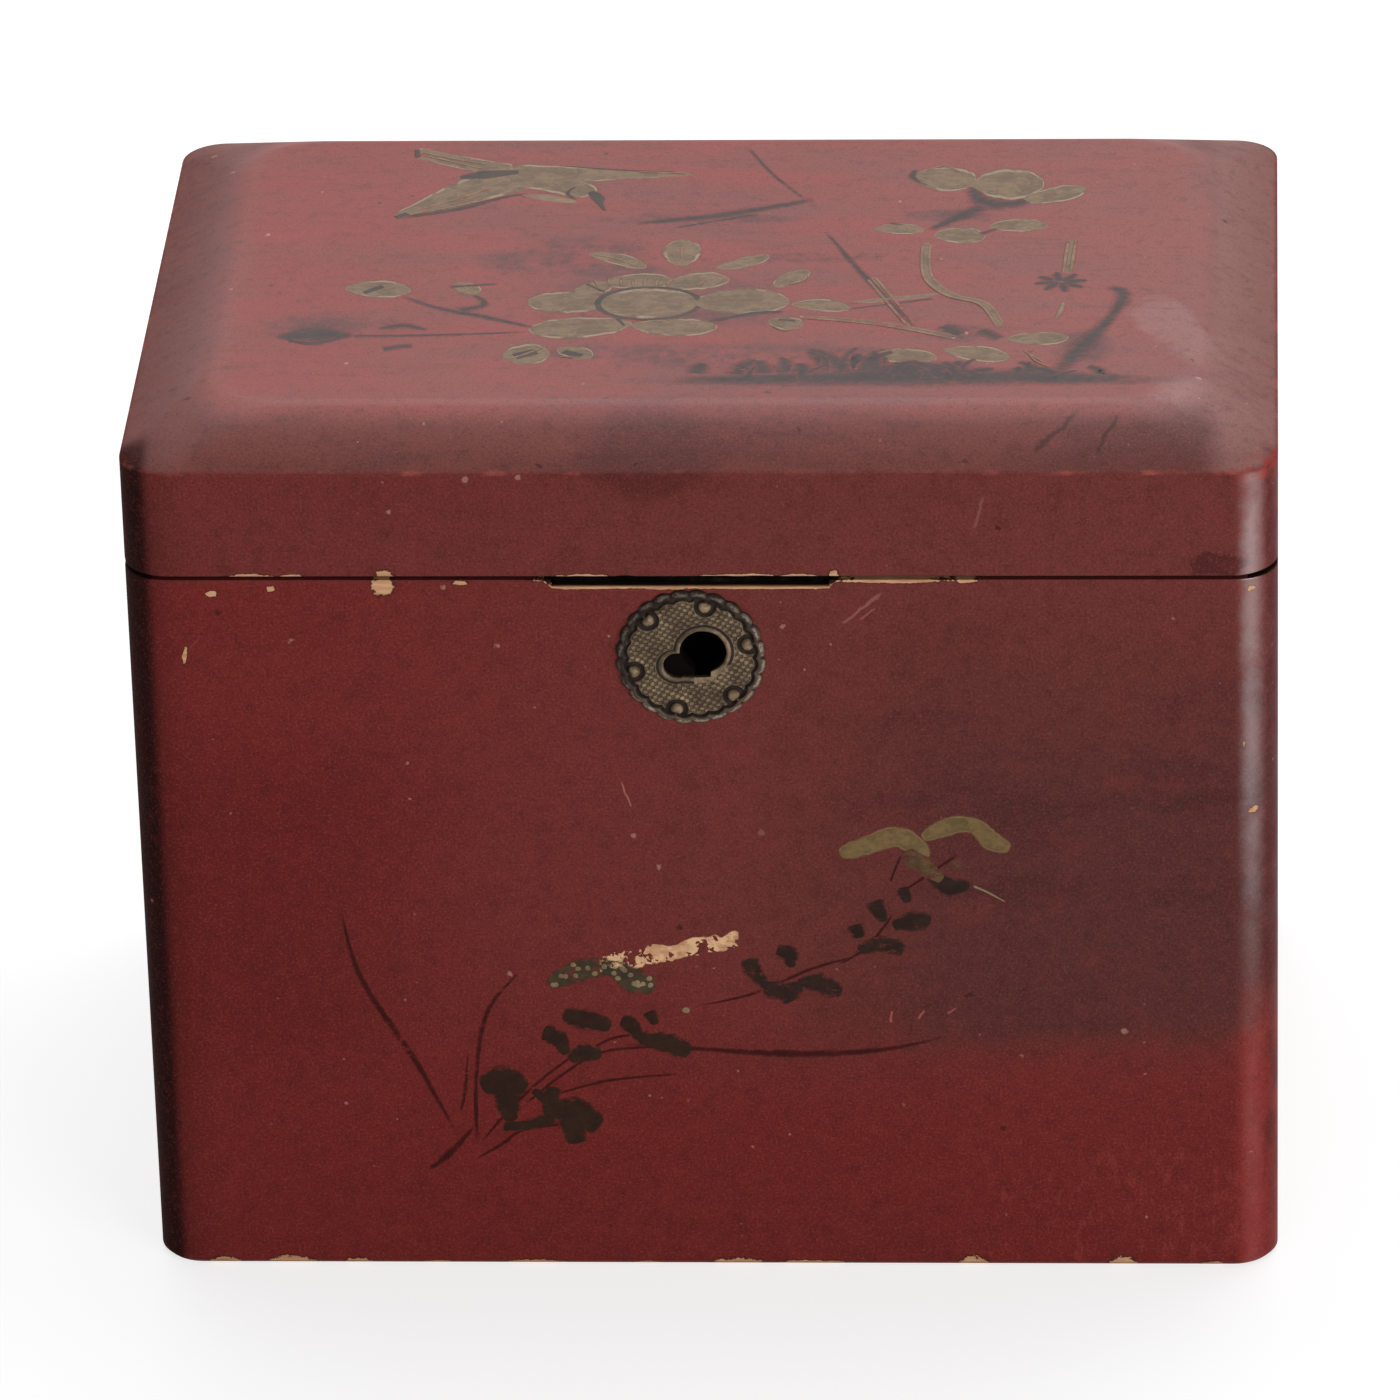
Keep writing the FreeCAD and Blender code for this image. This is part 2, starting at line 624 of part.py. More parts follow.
def escutcheon():
    """Stamped brass plate: lobed rim falling to a thin edge, ring of bosses, and a lipped keyhole."""
    t = plate_thickness
    body = faceted([plate_ring(plate_radius, plate_lobe_rise, 0),
                    plate_ring(plate_radius, plate_lobe_rise, -plate_rim_edge),
                    plate_ring(plate_radius - plate_rim_width, 0, -t)])
    body = single(body.fuse(plate_keyhole(plate_lip_width, -t - plate_lip_rise,
                                         -t + boss_root)))
    for i in range(boss_count):
        angle = math.radians(180 + boss_turn + i * 360 / boss_count)
        seat = Vector(boss_circle * math.sin(angle), -t, boss_circle * math.cos(angle))
        boss = turned(seat, Vector(0, -1, 0), [(-boss_root, boss_radius), (0, boss_radius),
                                               (boss_rise * 0.7, boss_radius * 0.75),
                                               (boss_rise, boss_radius * 0.35)])
        body = single(body.fuse(boss))
    body = single(body.cut(plate_keyhole(0, -t - overcut, overcut)))
    for s in (-1, 1):
        spike = turned(Vector(s * spike_reach, 0, 0), Vector(0, 1, 0),
                       [(-boss_root, spike_radius), (spike_length, spike_radius)])
        body = single(body.fuse(spike))
    body.rotate(Vector(0, 0, 0), Vector(0, 1, 0), -plate_turn)
    body.translate(escutcheon_centre())
    notch = block(key_x - worn_notch_left, key_x + worn_notch_right, front_y - t - overcut,
                  front_y + overcut, key_z - worn_notch_drop, key_z)
    return single(body.cut(notch))


def spike_holes():
    """Holes in the front board for the plate's two spikes."""
    centre = escutcheon_centre()
    turn = math.radians(-plate_turn)
    holes = []
    for s in (-1, 1):
        x = centre.x + s * spike_reach * math.cos(turn)
        z = centre.z - s * spike_reach * math.sin(turn)
        holes.append(rod(spike_radius + glue_gap, spike_length + overcut + glue_gap,
                         Vector(x, front_y - overcut, z), Vector(0, 1, 0)))
    return holes


# ---- fitting the metalwork into the wood ------------------------------------------------------
def fitted_front_board(board):
    """Mortises for the lock, the keyhole, and the holes for screws and spikes."""
    x0, x1 = lock_x - lock_plate_length / 2, lock_x + lock_plate_length / 2
    play = housing_play
    high = box_height + overcut
    board = board.cut(block(x0 - play, x1 + play, plate_y, -inner_y + overcut,
                            box_height - lock_plate_height - play, high))
    board = board.cut(block(x0 - play, x1 + play, selvedge_y - play, -inner_y + overcut,
                            box_height - lock_sheet, high))
    board = board.cut(block(x0, x1, front_y - overcut, -inner_y, box_height - lip_loss, high))
    c0, c1 = lock_x - case_length / 2, lock_x + case_length / 2
    board = board.cut(block(c0 - case_play, c1 + case_play, case_y - case_play, plate_y + overcut,
                            case_z - case_play, box_height))
    board = board.cut(keyhole(front_y - overcut, case_y + overcut))
    for p in lock_screw_points():
        board = board.cut(screw(p, Vector(0, -1, 0), play=glue_gap))
    for hole in spike_holes():
        board = board.cut(hole)
    return board


def back_bevel(on_lid):
    """Wedge off the back edge: both bevels point at the pin and meet when the lid is fully open."""
    fall = (1 if on_lid else -1) * 2 * hinge_set_in * math.tan(math.radians(lid_stop / 2))
    pin = Vector(-width / 2 - overcut, hinge_y, hinge_z)
    far = pin + Vector(0, 2 * hinge_set_in, 0)
    wedge = Part.Face(Part.makePolygon([pin, far, far + Vector(0, 0, fall), pin]))
    return wedge.extrude(Vector(width + 2 * overcut, 0, 0))


def fitted_hinge_board(board, on_lid):
    """The back edge's bevel, housings for the hinge leaves and holes for their screws."""
    way = Vector(0, 0, 1 if on_lid else -1)
    board = board.cut(back_bevel(on_lid))
    for s in (-1, 1):
        x = s * hinge_spacing / 2
        board = board.cut(hinge_cut(x, on_lid))
        for p in hinge_screw_points(x, lid_z if on_lid else box_height):
            board = board.cut(screw(p, way, play=glue_gap))
    return board


def fitted_lid_front_rail(rail):
    """Housing for the link plate and holes for its screws."""
    half = link_plate_length / 2 + housing_play
    rail = rail.cut(block(lock_x - half, lock_x + half, selvedge_y - housing_play, -inner_y + overcut,
                          lid_z - overcut, lid_z - link_plate_proud + link_plate_sheet))
    for p in link_plate_screw_points():
        rail = rail.cut(screw(p, Vector(0, 0, 1), play=glue_gap))
    return rail


def screw_set(points, axis, across):
    """A group of slotted screws."""
    return Part.makeCompound([slotted(screw(p, axis), p, axis, across) for p in points])


def save(name, shape):
    """Writes one sub-part and reports its volume."""
    shape.exportStep(f"parts/{name}.step")
    print(f"{name:22s} solids {len(shape.Solids):2d}  volume {shape.Volume:10.1f}  valid {shape.isValid()}")


def main():
    os.makedirs("parts", exist_ok=True)
    box = boards(bottom_thickness, box_height, peg_rows)
    save("front_board", fitted_front_board(box["front"]))
    save("back_board", fitted_hinge_board(box["back"], False))
    save("left_board", box["left"])
    save("right_board", box["right"])
    save("bottom_board", bottom_board())
    save("box_corner_pegs", Part.makeCompound(corner_pegs(bottom_thickness, box_height, peg_rows)))

    lid = boards(lid_z, lid_board_z, 1)
    save("lid_front_rail", fitted_lid_front_rail(lid["front"]))
    save("lid_back_rail", fitted_hinge_board(lid["back"], True))
    save("lid_left_rail", lid["left"])
    save("lid_right_rail", lid["right"])
    save("lid_top_board", lid_top_board())
    save("lid_corner_pegs", Part.makeCompound(corner_pegs(lid_z, lid_board_z, 1)))

    save("tin_liner", tin_liner())
    save("inner_lid_board", inner_lid())
    save("inner_lid_knob", inner_lid_knob())

    up, down, across = Vector(0, 0, 1), Vector(0, 0, -1), Vector(0.8, 0.6, 0)
    places = {"left": -hinge_spacing / 2, "right": hinge_spacing / 2}
    for side, x in places.items():
        save(f"hinge_leaf_box_{side}", hinge_leaf_solid(x, False))
        save(f"hinge_leaf_lid_{side}", hinge_leaf_solid(x, True))
        save(f"hinge_pin_{side}", hinge_pin(x))
    box_points = [p for x in places.values() for p in hinge_screw_points(x, box_height)]
    lid_points = [p for x in places.values() for p in hinge_screw_points(x, lid_z)]
    save("hinge_screws_box", screw_set(box_points, down, across))
    save("hinge_screws_lid", screw_set(lid_points, up, across))

    save("lock_plate", lock_plate())
    save("lock_case", lock_case())
    save("lock_posts", lock_posts())
    save("lock_bolt", lock_bolt())
    save("lock_spring", lock_spring())
    save("lock_screws", screw_set(lock_screw_points(), Vector(0, -1, 0), Vector(0.6, 0, 0.8)))
    save("link_plate", link_plate())
    save("link_plate_screws", screw_set(link_plate_screw_points(), up, across))
    save("escutcheon", escutcheon())


main()
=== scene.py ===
import json
import math
import random

import bmesh
import bpy
from mathutils import Matrix, Vector, noise


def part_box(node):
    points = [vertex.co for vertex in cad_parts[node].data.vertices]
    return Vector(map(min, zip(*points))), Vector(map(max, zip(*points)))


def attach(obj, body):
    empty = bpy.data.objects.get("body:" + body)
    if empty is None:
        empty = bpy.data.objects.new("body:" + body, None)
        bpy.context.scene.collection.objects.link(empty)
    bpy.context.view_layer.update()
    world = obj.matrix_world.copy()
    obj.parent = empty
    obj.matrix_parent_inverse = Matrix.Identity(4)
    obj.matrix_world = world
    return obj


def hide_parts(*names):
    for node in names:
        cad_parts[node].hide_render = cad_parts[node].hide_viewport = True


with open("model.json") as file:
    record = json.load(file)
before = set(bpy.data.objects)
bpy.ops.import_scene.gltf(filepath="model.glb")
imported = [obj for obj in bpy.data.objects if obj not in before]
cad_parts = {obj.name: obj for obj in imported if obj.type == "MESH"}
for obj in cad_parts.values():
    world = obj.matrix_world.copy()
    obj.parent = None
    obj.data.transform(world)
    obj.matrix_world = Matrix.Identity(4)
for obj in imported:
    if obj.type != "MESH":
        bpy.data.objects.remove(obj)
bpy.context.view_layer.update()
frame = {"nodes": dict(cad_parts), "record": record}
mm = 0.001

# ---- Room ---------------------------------------------------------------------------------
# The caddy stands on a white sweep in a pale room, under one broad ceiling light. A tall window on
# the right draws the bright line down the right corner, and the left side turns away from it.


def tone(red, green, blue):
    """A colour given as it is seen, 0 to 255, in the linear values that shaders take."""
    channels = [c / 255 for c in (red, green, blue)]
    return [c / 12.92 if c <= 0.04045 else ((c + 0.055) / 1.055) ** 2.4 for c in channels] + [1.0]


class Value:
    """One number, colour or vector in a finish; sums written with it become nodes."""

    def __init__(self, finish, socket):
        self.finish = finish
        self.socket = socket

    def sum(self, operation, first, second=0.0, third=0.0):
        return self.finish.node("ShaderNodeMath", {"operation": operation}, [first, second, third])

    def __add__(self, other):
        return self.sum("ADD", self, other)

    def __mul__(self, other):
        return self.sum("MULTIPLY", self, other)

    def __sub__(self, other):
        return self.sum("SUBTRACT", self, other)

    def __rsub__(self, other):
        return self.sum("SUBTRACT", other, self)

    def __truediv__(self, other):
        return self.sum("DIVIDE", self, other)

    def __pow__(self, other):
        return self.sum("POWER", self, other)

    def __abs__(self):
        return self.sum("ABSOLUTE", self)

    __radd__ = __add__
    __rmul__ = __mul__

    def rise(self, low, high):
        """0 at low and 1 at high, with a soft start and end; high may be the lower of the two."""
        limits = {"From Min": low, "From Max": high}
        if low > high:
            limits = {"From Min": high, "From Max": low, "To Min": 1.0, "To Max": 0.0}
        return self.finish.node("ShaderNodeMapRange", {"interpolation_type": "SMOOTHSTEP"},
                                {"Value": self, **limits})

    def wave(self, pitch):
        """A cosine wave of this pitch in millimetres."""
        return self.sum("COSINE", self * (2 * math.pi / pitch))

    def most(self, other):
        return self.sum("MAXIMUM", self, other)


class Finish:
    """A material and the nodes in it."""

    def __init__(self, name, kind=bpy.data.materials):
        self.material = kind.new(name)
        self.material.use_nodes = True
        self.tree = self.material.node_tree
        self.shader = self.tree.nodes.get("Principled BSDF")

    def feed(self, socket, value):
        if isinstance(value, Value):
            self.tree.links.new(value.socket, socket)
        else:
            socket.default_value = value

    def node(self, kind, settings, values, output=0):
        """Adds a node: its settings first, then the values or links of its sockets."""
        made = self.tree.nodes.new(kind)
        for key, setting in settings.items():
            setattr(made, key, setting)
        pairs = values.items() if isinstance(values, dict) else enumerate(values)
        for key, value in pairs:
            self.feed(made.inputs[key], value)
        return Value(self, made.outputs[output])

    def place(self, stretch=(1, 1, 1), move=(0, 0, 0)):
        """Object coordinates in millimetres, stretched and then moved."""
        at = self.node("ShaderNodeTexCoord", {}, {}, "Object")
        scale = [s / mm for s in stretch]
        return self.node("ShaderNodeMapping", {}, {"Vector": at, "Scale": scale, "Location": move})

    def axes(self):
        """The place along X, Y and Z in millimetres."""
        at = self.place()
        return [self.node("ShaderNodeSeparateXYZ", {}, [at], axis) for axis in range(3)]

    def cloud(self, size, stretch=(1, 1, 1), detail=3.0, roughness=0.55, move=(0, 0, 0)):
        """Noise from 0 to 1 whose lumps measure about size millimetres."""
        return self.node("ShaderNodeTexNoise", {},
                         {"Vector": self.place(stretch, move), "Scale": 1 / size, "Detail": detail,
                          "Roughness": roughness})

    def specks(self, size, share, ragged, move=(0, 0, 0)):
        """Sparse uneven specks, 1 inside one. share is the part of the cells that hold one."""
        at = {"Vector": self.place((1, 1, 1), move), "Scale": 1 / size}
        near = self.node("ShaderNodeTexVoronoi", {}, at, "Distance")
        cell = self.node("ShaderNodeTexVoronoi", {}, at, "Color")
        chance = self.node("ShaderNodeSeparateColor", {}, [cell])
        inside = (near + (ragged - 0.5) * 0.45).rise(0.12, 0.05)
        return inside * chance.rise(share * 1.02, share * 0.98)

    def mix(self, mask, under, over):
        """Two colours mixed by a mask."""
        return self.node("ShaderNodeMix", {"data_type": "RGBA"}, {0: mask, 6: under, 7: over}, 2)

    def washes(self, colour, coats):
        """Lays coats over a colour, one after another; each is its mask and its own colour."""
        for mask, coat_colour in coats:
            colour = self.mix(mask, colour, coat_colour)
        return colour

    def own(self, name):
        """A number stored on the piece's own vertices."""
        return self.node("ShaderNodeAttribute", {"attribute_name": name}, {}, "Fac")

    def surface(self, colour, rough, metal=0.0, height=None, depth=0.1, coat=0.0, gloss=0.5):
        """Sets the surface: height is relief in units of depth mm, gloss the specular level."""
        self.feed(self.shader.inputs["Base Color"], colour)
        self.feed(self.shader.inputs["Roughness"], rough)
        self.feed(self.shader.inputs["Metallic"], metal)
        self.feed(self.shader.inputs["Coat Weight"], coat)
        self.shader.inputs["Coat Roughness"].default_value = 0.4
        self.shader.inputs["Coat IOR"].default_value = 1.9
        self.shader.inputs["Specular IOR Level"].default_value = gloss
        if height is not None:
            bump = self.node("ShaderNodeBump", {},
                             {"Height": height, "Distance": depth * mm, "Strength": 1.0})
            self.feed(self.shader.inputs["Normal"], bump)
        return self.material


camera_data = bpy.data.cameras.new("camera")
camera = bpy.data.objects.new("camera", camera_data)
bpy.context.collection.objects.link(camera)
bpy.context.scene.camera = camera
camera_data.lens = 270.95
camera_data.sensor_width = 36.0
camera_data.clip_end = 20.0
turn, pitch, roll = math.radians(3.453), math.radians(27.537), math.radians(-1.61)
looked_at = Vector((-0.00346, 0, 0.06253))
camera_away = 1.526
level = math.cos(pitch)
ahead = Vector((-math.sin(turn) * level, math.cos(turn) * level, -math.sin(pitch)))
across = Vector((math.cos(turn), math.sin(turn), 0))
upwards = across.cross(ahead)
right = across * math.cos(roll) + upwards * math.sin(roll)
up = upwards * math.cos(roll) - across * math.sin(roll)
camera.rotation_euler = Matrix((right, up, -ahead)).transposed().to_euler()
camera.location = looked_at - ahead * camera_away


def lamp(name, place, aim, size, power):
    """A rectangular lamp at place, turned towards aim."""
    data = bpy.data.lights.new(name, "AREA")
    data.shape = "RECTANGLE"
    data.size, data.size_y = size
    data.energy = power
    hung = bpy.data.objects.new(name, data)
    bpy.context.collection.objects.link(hung)
    hung.location = place
    hung.rotation_euler = (Vector(aim) - Vector(place)).to_track_quat("-Z", "Y").to_euler()


lamp("ceiling", (0.1, 0.6, 1.25), (0, 0, 0.1), (1.6, 1.2), 15)
lamp("front_fill", (-0.3, -1.6, 0.7), (0, 0, 0.05), (0.9, 0.7), 2.5)
lamp("window", (0.82, -0.94, 0.2), (0.05, 0, 0.06), (0.85, 0.55), 11.0)

bpy.context.scene.view_settings.view_transform = "Standard"
room = Finish("room", bpy.data.worlds)
bpy.context.scene.world = room.material


def seen_rays(finish):
    """1 for what is looked at straight, in a reflection or through glass."""
    rays = [finish.node("ShaderNodeLightPath", {}, {}, f"Is {kind} Ray")
            for kind in ("Camera", "Glossy", "Transmission")]
    return rays[0].most(rays[1]).most(rays[2])


air = room.node("ShaderNodeBackground", {}, {"Color": (0.96, 0.98, 1, 1), "Strength": 0.18})
backdrop = room.node("ShaderNodeBackground", {}, {"Color": (1, 1, 1, 1), "Strength": 1.0})
room.feed(room.tree.nodes["World Output"].inputs["Surface"],
          room.node("ShaderNodeMixShader", {}, [seen_rays(room), air, backdrop]))

sweep_bm = bmesh.new()
bmesh.ops.create_grid(sweep_bm, x_segments=1, y_segments=1, size=6)
sweep_mesh = bpy.data.meshes.new("sweep")
sweep_bm.to_mesh(sweep_mesh)
sweep_bm.free()
sweep = bpy.data.objects.new("sweep", sweep_mesh)
bpy.context.collection.objects.link(sweep)
paper = Finish("white_sweep")
paper.surface((0.62, 0.62, 0.62, 1), 0.9)
glow = paper.node("ShaderNodeEmission", {}, {"Color": (1, 1, 1, 1), "Strength": 0.72})
dull = paper.node("ShaderNodeBsdfDiffuse", {}, {"Color": (0.45, 0.45, 0.45, 1)})
lit = paper.node("ShaderNodeAddShader", {}, [glow, dull])
plain = Value(paper, paper.shader.outputs[0])
paper.feed(paper.tree.nodes["Material Output"].inputs["Surface"],
           paper.node("ShaderNodeMixShader", {}, [seen_rays(paper), plain, lit]))
sweep_mesh.materials.append(paper.material)

# ---- Lacquer ------------------------------------------------------------------------------
# Red lacquer over a ground, brushed on by hand over the whole box after it was put together. It is
# clouded brown on the right of the front, rubbed and hazy on top, the haze partly painted sheen,
# and broken off along the edges.
box_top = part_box("front_board")[1][2] / mm
front_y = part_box("front_board")[0][1] / mm
back_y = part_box("back_board")[1][1] / mm
half_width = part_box("bottom_board")[1][0] / mm
lid_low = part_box("lid_left_rail")[0][2] / mm
lid_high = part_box("lid_top_board")[1][2] / mm
board_edge = 4.0                        # upright edge of the top board, below the arris
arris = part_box("lid_left_rail")[1][2] / mm + board_edge


def blot(across, along, middle, reach, ragged=0.0, soft=(1.3, 0.5)):
    """1 inside an oval with this middle and this reach to each side, with a soft ragged edge."""
    from_x, from_y = (across - middle[0]) / reach[0], (along - middle[1]) / reach[1]
    return (from_x ** 2 + from_y ** 2 + ragged).rise(*soft)


def lacquer_colour(f):
    """The lacquer's colour, roughness, shine and relief at every point of the caddy."""
    x, y, z = f.axes()
    broad = f.cloud(38, detail=4)
    middle = f.cloud(9, detail=5, roughness=0.6)
    small = f.cloud(2.4, detail=4, roughness=0.65)
    fine = f.cloud(0.34, detail=3, roughness=0.7)
    streaks = f.cloud(1.6, (0.14, 1, 1), detail=4, roughness=0.6)
    smears = f.cloud(8, (0.32, 1, 1), detail=5, roughness=0.62, move=(4, 9, 2))
    ragged = f.cloud(0.8, detail=2)
    sway = (broad - 0.5) * 26
    uneven = middle - 0.5
    crumbly = small - 0.5
    swayed = x + sway
    on_top = z.rise(arris - 0.3, arris + 4.6)
    side = 1 - on_top
    front = y.rise(-44, -49)

    # Walls: redder on the left and low down, with a brown patch that ends in a line on the right.
    under_line = (z + uneven * 9 - x * 0.03).rise(30, 40)
    patch = (x + sway * 0.9 + uneven * 16).rise(2, 42) * under_line * (z + sway).rise(116, 70)
    patch = patch * y.rise(10, -48)
    scuffs = f.cloud(1.6, (1, 1, 0.5), detail=5, roughness=0.75).rise(0.53, 0.62)
    wall = f.washes(tone(114, 40, 37), (
        (swayed.rise(-72, 20), tone(108, 51, 47)),
        ((z + sway * 0.4).rise(58, 20) * 0.9, tone(110, 37, 34)),
        (swayed.rise(-28, -56) * z.rise(94, 72) * z.rise(24, 44) * 0.5, tone(92, 26, 25)),
        (patch * 0.85, tone(82, 46, 43)),
        (patch * smears.rise(0.5, 0.66) * 0.5, tone(66, 36, 36)),
        (z.rise(box_top - 1, box_top + 1) * 0.6, tone(108, 52, 49)),
        (scuffs * swayed.rise(28, 46) * z.rise(28, 14) * 0.4, tone(142, 58, 54))))

    # Top: paler than the walls, and paler and hazier towards its edges and in a patch by the right
    # front corner; this is partly rubbed lacquer and partly painted sheen.
    edge_x = (abs(x) + sway * 0.3).rise(64, 75)
    edge_y = (abs(y) + uneven * 7).rise(40, 49)
    ragged_edge = uneven * 2.6 + crumbly * 0.5
    leaning = y + (x - 66) * 1.1
    bloom_and_sheen = blot(x, leaning, (66, -21), (6, 9), ragged_edge).most(
        blot(x, y, (71, -40), (9, 5), ragged_edge))
    crown = f.washes(tone(153, 67, 63), (
        ((broad * 0.35 + smears * 0.75).rise(0.4, 0.72), tone(130, 70, 66)),
        (swayed.rise(10, 60) * 0.4, tone(148, 86, 82)),
        ((x - sway).rise(-30, -58) * 0.5, tone(150, 56, 49)),
        (edge_x * 0.8, tone(130, 90, 86)),
        (edge_y * 0.35, tone(128, 66, 64)),
        (bloom_and_sheen * 0.42, tone(166, 128, 122))))

    # Slope between the arris and the top: worn dull with a pale haze that is partly painted sheen,
    # paler at its ends where it turns to the sides, most on the right towards the window, as
    # painted light, and stained over the lock.
    slope_band = z.rise(arris, arris + 0.4) * z.rise(arris + 5.3, arris + 3.6)
    ends = abs(x).rise(68, 73)
    # Painted light: the slope's ends lighter than its front, the right end most.
    lit_slope_ends = f.mix(x.rise(-9, 9), tone(130, 84, 78), tone(146, 104, 98))
    shaded = (((x - 61) / 12) ** 2 + uneven * 2).rise(1.2, 0.3) * y.rise(-44, -48)
    stain = blot(x, z, (-6.5, arris + 1), (9.5, 5), uneven * 2.4, (1.3, 0.3)) * y.rise(-40, -46)
    stain_colour = f.mix(z.rise(arris, arris + 0.3), tone(66, 28, 27), tone(76, 46, 44))
    dulled = tone(88, 54, 50)
    colour = f.washes(f.mix(on_top, wall, crown), (
        (slope_band * 0.75, f.mix(ends, tone(114, 66, 61), lit_slope_ends)),
        (slope_band * smears.rise(0.5, 0.66) * (1 - ends * 0.6) * 0.4, dulled),
        (slope_band * shaded * 0.5, dulled),
        (stain * 0.5, stain_colour)))

    # Smoky dirt round the painting on the lid: the middle and reach of each spot.
    spots = [blot(x, y, spot_middle, reach, soft=(1.6, 0.1)) for spot_middle, reach in (
        ((-18, 4), (9, 6)), ((-14, -1), (7, 3)), ((30, -37), (36, 1.9)), ((21, -31), (7, 5)),
        ((32, -33), (7, 4)), ((53, -27), (4, 6)), ((-52, -19), (9, 4)), ((-4, 16), (16, 1.6)),
        ((14, 3), (20, 1.6)), ((33, 17), (6, 2)), ((0, -29), (26, 4)), ((36, -22), (4, 3)),
        ((47, -36), (6, 3)), ((-25, 2), (8, 5)), ((40, 21), (5, 2.5)), ((-53, -22), (7, 2.5)),
        ((22, -34), (12, 3)), ((-8, -12), (17, 9)))]
    smoke = spots[0]
    for spot in spots[1:]:
        smoke = smoke.most(spot)
    smoke = smoke * on_top * (smears * 0.35 + small * 0.35 + middle * 0.5).rise(0.48, 0.7)

    # Upright corners: painted shade down the left front corner, which turns away from the light,
    # and a painted highlight low on the right front corner, with painted shade along its outer
    # edge; then the mottling of the whole coat from broad to fine.
    left_corner_shade = (x + crumbly * 0.6).rise(-75.2, -77.3) * side * front
    right_edge_shade = x.rise(77.2, 79) * (0.3 + middle.rise(0.46, 0.6) * 0.45) * side * front
    smudge = blot(x, z, (71.5, lid_low + 1.6), (4.5, 2), crumbly * 4, (1.2, 0.6))
    colour = f.washes(colour, (
        (smoke * 0.75, tone(76, 47, 48)),
        # Painted shade: darker towards the left front corner.
        (x.rise(-69, -76) * side * front * 0.3, tone(60, 18, 17)),
        # Painted highlight: redder and lighter low on the right front corner.
        (x.rise(73.5, 76) * z.rise(52, 34) * front * 0.45, tone(146, 44, 40)),
        # Painted shade along the outer edge of the right front corner.
        (right_edge_shade, tone(76, 24, 22)),
        (smudge * front * 0.6, tone(56, 26, 26)),
        (middle.rise(0.5, 0.7) * side * 0.18, tone(82, 32, 31)),
        (middle.rise(0.46, 0.3) * side * 0.14, tone(130, 50, 47)),
        # Painted shade: near black down the left front corner.
        (left_corner_shade * 0.9, tone(22, 8, 8)),
        (small.rise(0.5, 0.68) * 0.24, tone(64, 28, 27)),
        (small.rise(0.46, 0.34) * 0.13, tone(134, 56, 52)),
        (fine.rise(0.5, 0.74) * (0.26 + on_top * 0.16), tone(160, 90, 82)),
        (fine.rise(0.5, 0.28) * (0.4 + on_top * 0.08), tone(48, 20, 20)),
        (streaks.rise(0.54, 0.72) * (0.08 + on_top * 0.16), tone(86, 44, 43)),
        (streaks.rise(0.42, 0.3) * on_top * 0.12, tone(170, 80, 74))))

    # Wear: the rubbed arris, raw red at the corners, pale specks, dents, and a streak flaked bare.
    rubbed = abs(z - arris).rise(0.42, 0.08) * f.cloud(6, detail=4).rise(0.5, 0.66)
    raw = abs(x).rise(72.6, 78) * abs(z - arris + 0.4).rise(1.7, 0.4) * front
    raw = raw * f.cloud(2.2, detail=4).rise(0.49, 0.55)
    gathered = f.cloud(24, detail=2, move=(7, 4, 2)).rise(0.48, 0.62)
    pale = (f.specks(1.8, 0.12, ragged) * gathered).most(f.specks(3.6, 0.05, ragged, (3, 11, 5)))
    dents = f.specks(4.5, 0.07, ragged, (31, 7, 13))
    lost = z - 51.0 - (x + 6) * 0.24 + uneven * 5
    lost = abs(lost).rise(1.9, 0.9) * abs(x + 5.5).rise(10.5, 9) * y.rise(0, -1)
    lost = lost * f.cloud(2.6, detail=4, roughness=0.7, move=(2, 0, 5)).rise(0.455, 0.475)
    bared = f.mix(small.rise(0.4, 0.6), bare_wood_colour(f), tone(228, 184, 140))
    colour = f.washes(colour, (
        (rubbed * 0.5, tone(172, 92, 80)),
        (raw * (0.08 + x.rise(-1, 1) * 0.57), tone(150, 46, 38)),
        (pale * (0.38 + on_top * 0.2), tone(200, 150, 136)),
        (dents * 0.6, tone(50, 22, 22)),
        (lost.rise(0.3, 0.6) * 0.95, bared)))

    # Shine: hands have polished the right front corner, and the flat of the lid a little.
    handled = ((x + crumbly * 1.6).rise(73.9, 76.3) * (x + crumbly).rise(79.0, 76.3)) ** 1.3
    handled = handled * z.rise(arris + 0.2, arris - 0.6) * front
    handled = handled * (0.26 + z.rise(44, 78) * 0.9 + z.rise(box_top, lid_low) * 0.24)
    handled = handled * (0.45 + middle.rise(0.3, 0.56) * 0.55)
    shine = on_top * (0.1 + z.rise(arris + 3, lid_high) * 0.18) + handled
    roughness = (0.5 + on_top * 0.02 + uneven * 0.14 + (fine - 0.5) * 0.2 + lost * 0.2
                 + left_corner_shade * 0.3)
    relief = streaks * 0.4 + middle * 0.9 + fine * 0.3 + small * 0.5 - dents * 0.8 - lost * 1.2
    return colour, roughness, shine, relief


def bare_wood_colour(f):
    """Pale softwood seen where the lacquer has broken off."""
    fibre = f.cloud(0.5, (0.12, 1, 1), detail=4, roughness=0.6)
    return f.mix(fibre.rise(0.3, 0.7), tone(178, 126, 92), tone(210, 164, 124))


def scratch(f, start, end, half):
    """1 along a fine straight scratch on the front, between two places (x, z)."""
    x, y, z = f.axes()
    run_x, run_z = end[0] - start[0], end[1] - start[1]
    from_x, from_z = x - start[0], z - start[1]
    along = (from_x * run_x + from_z * run_z) / (run_x ** 2 + run_z ** 2)
    aside = (from_x * run_z - from_z * run_x) / math.hypot(run_x, run_z)
    line = abs(aside + (f.cloud(1.8) - 0.5) * half * 3).rise(half, half * 0.3)
    return line * along.rise(0, 0.1) * along.rise(1, 0.8) * y.rise(-30, -40)


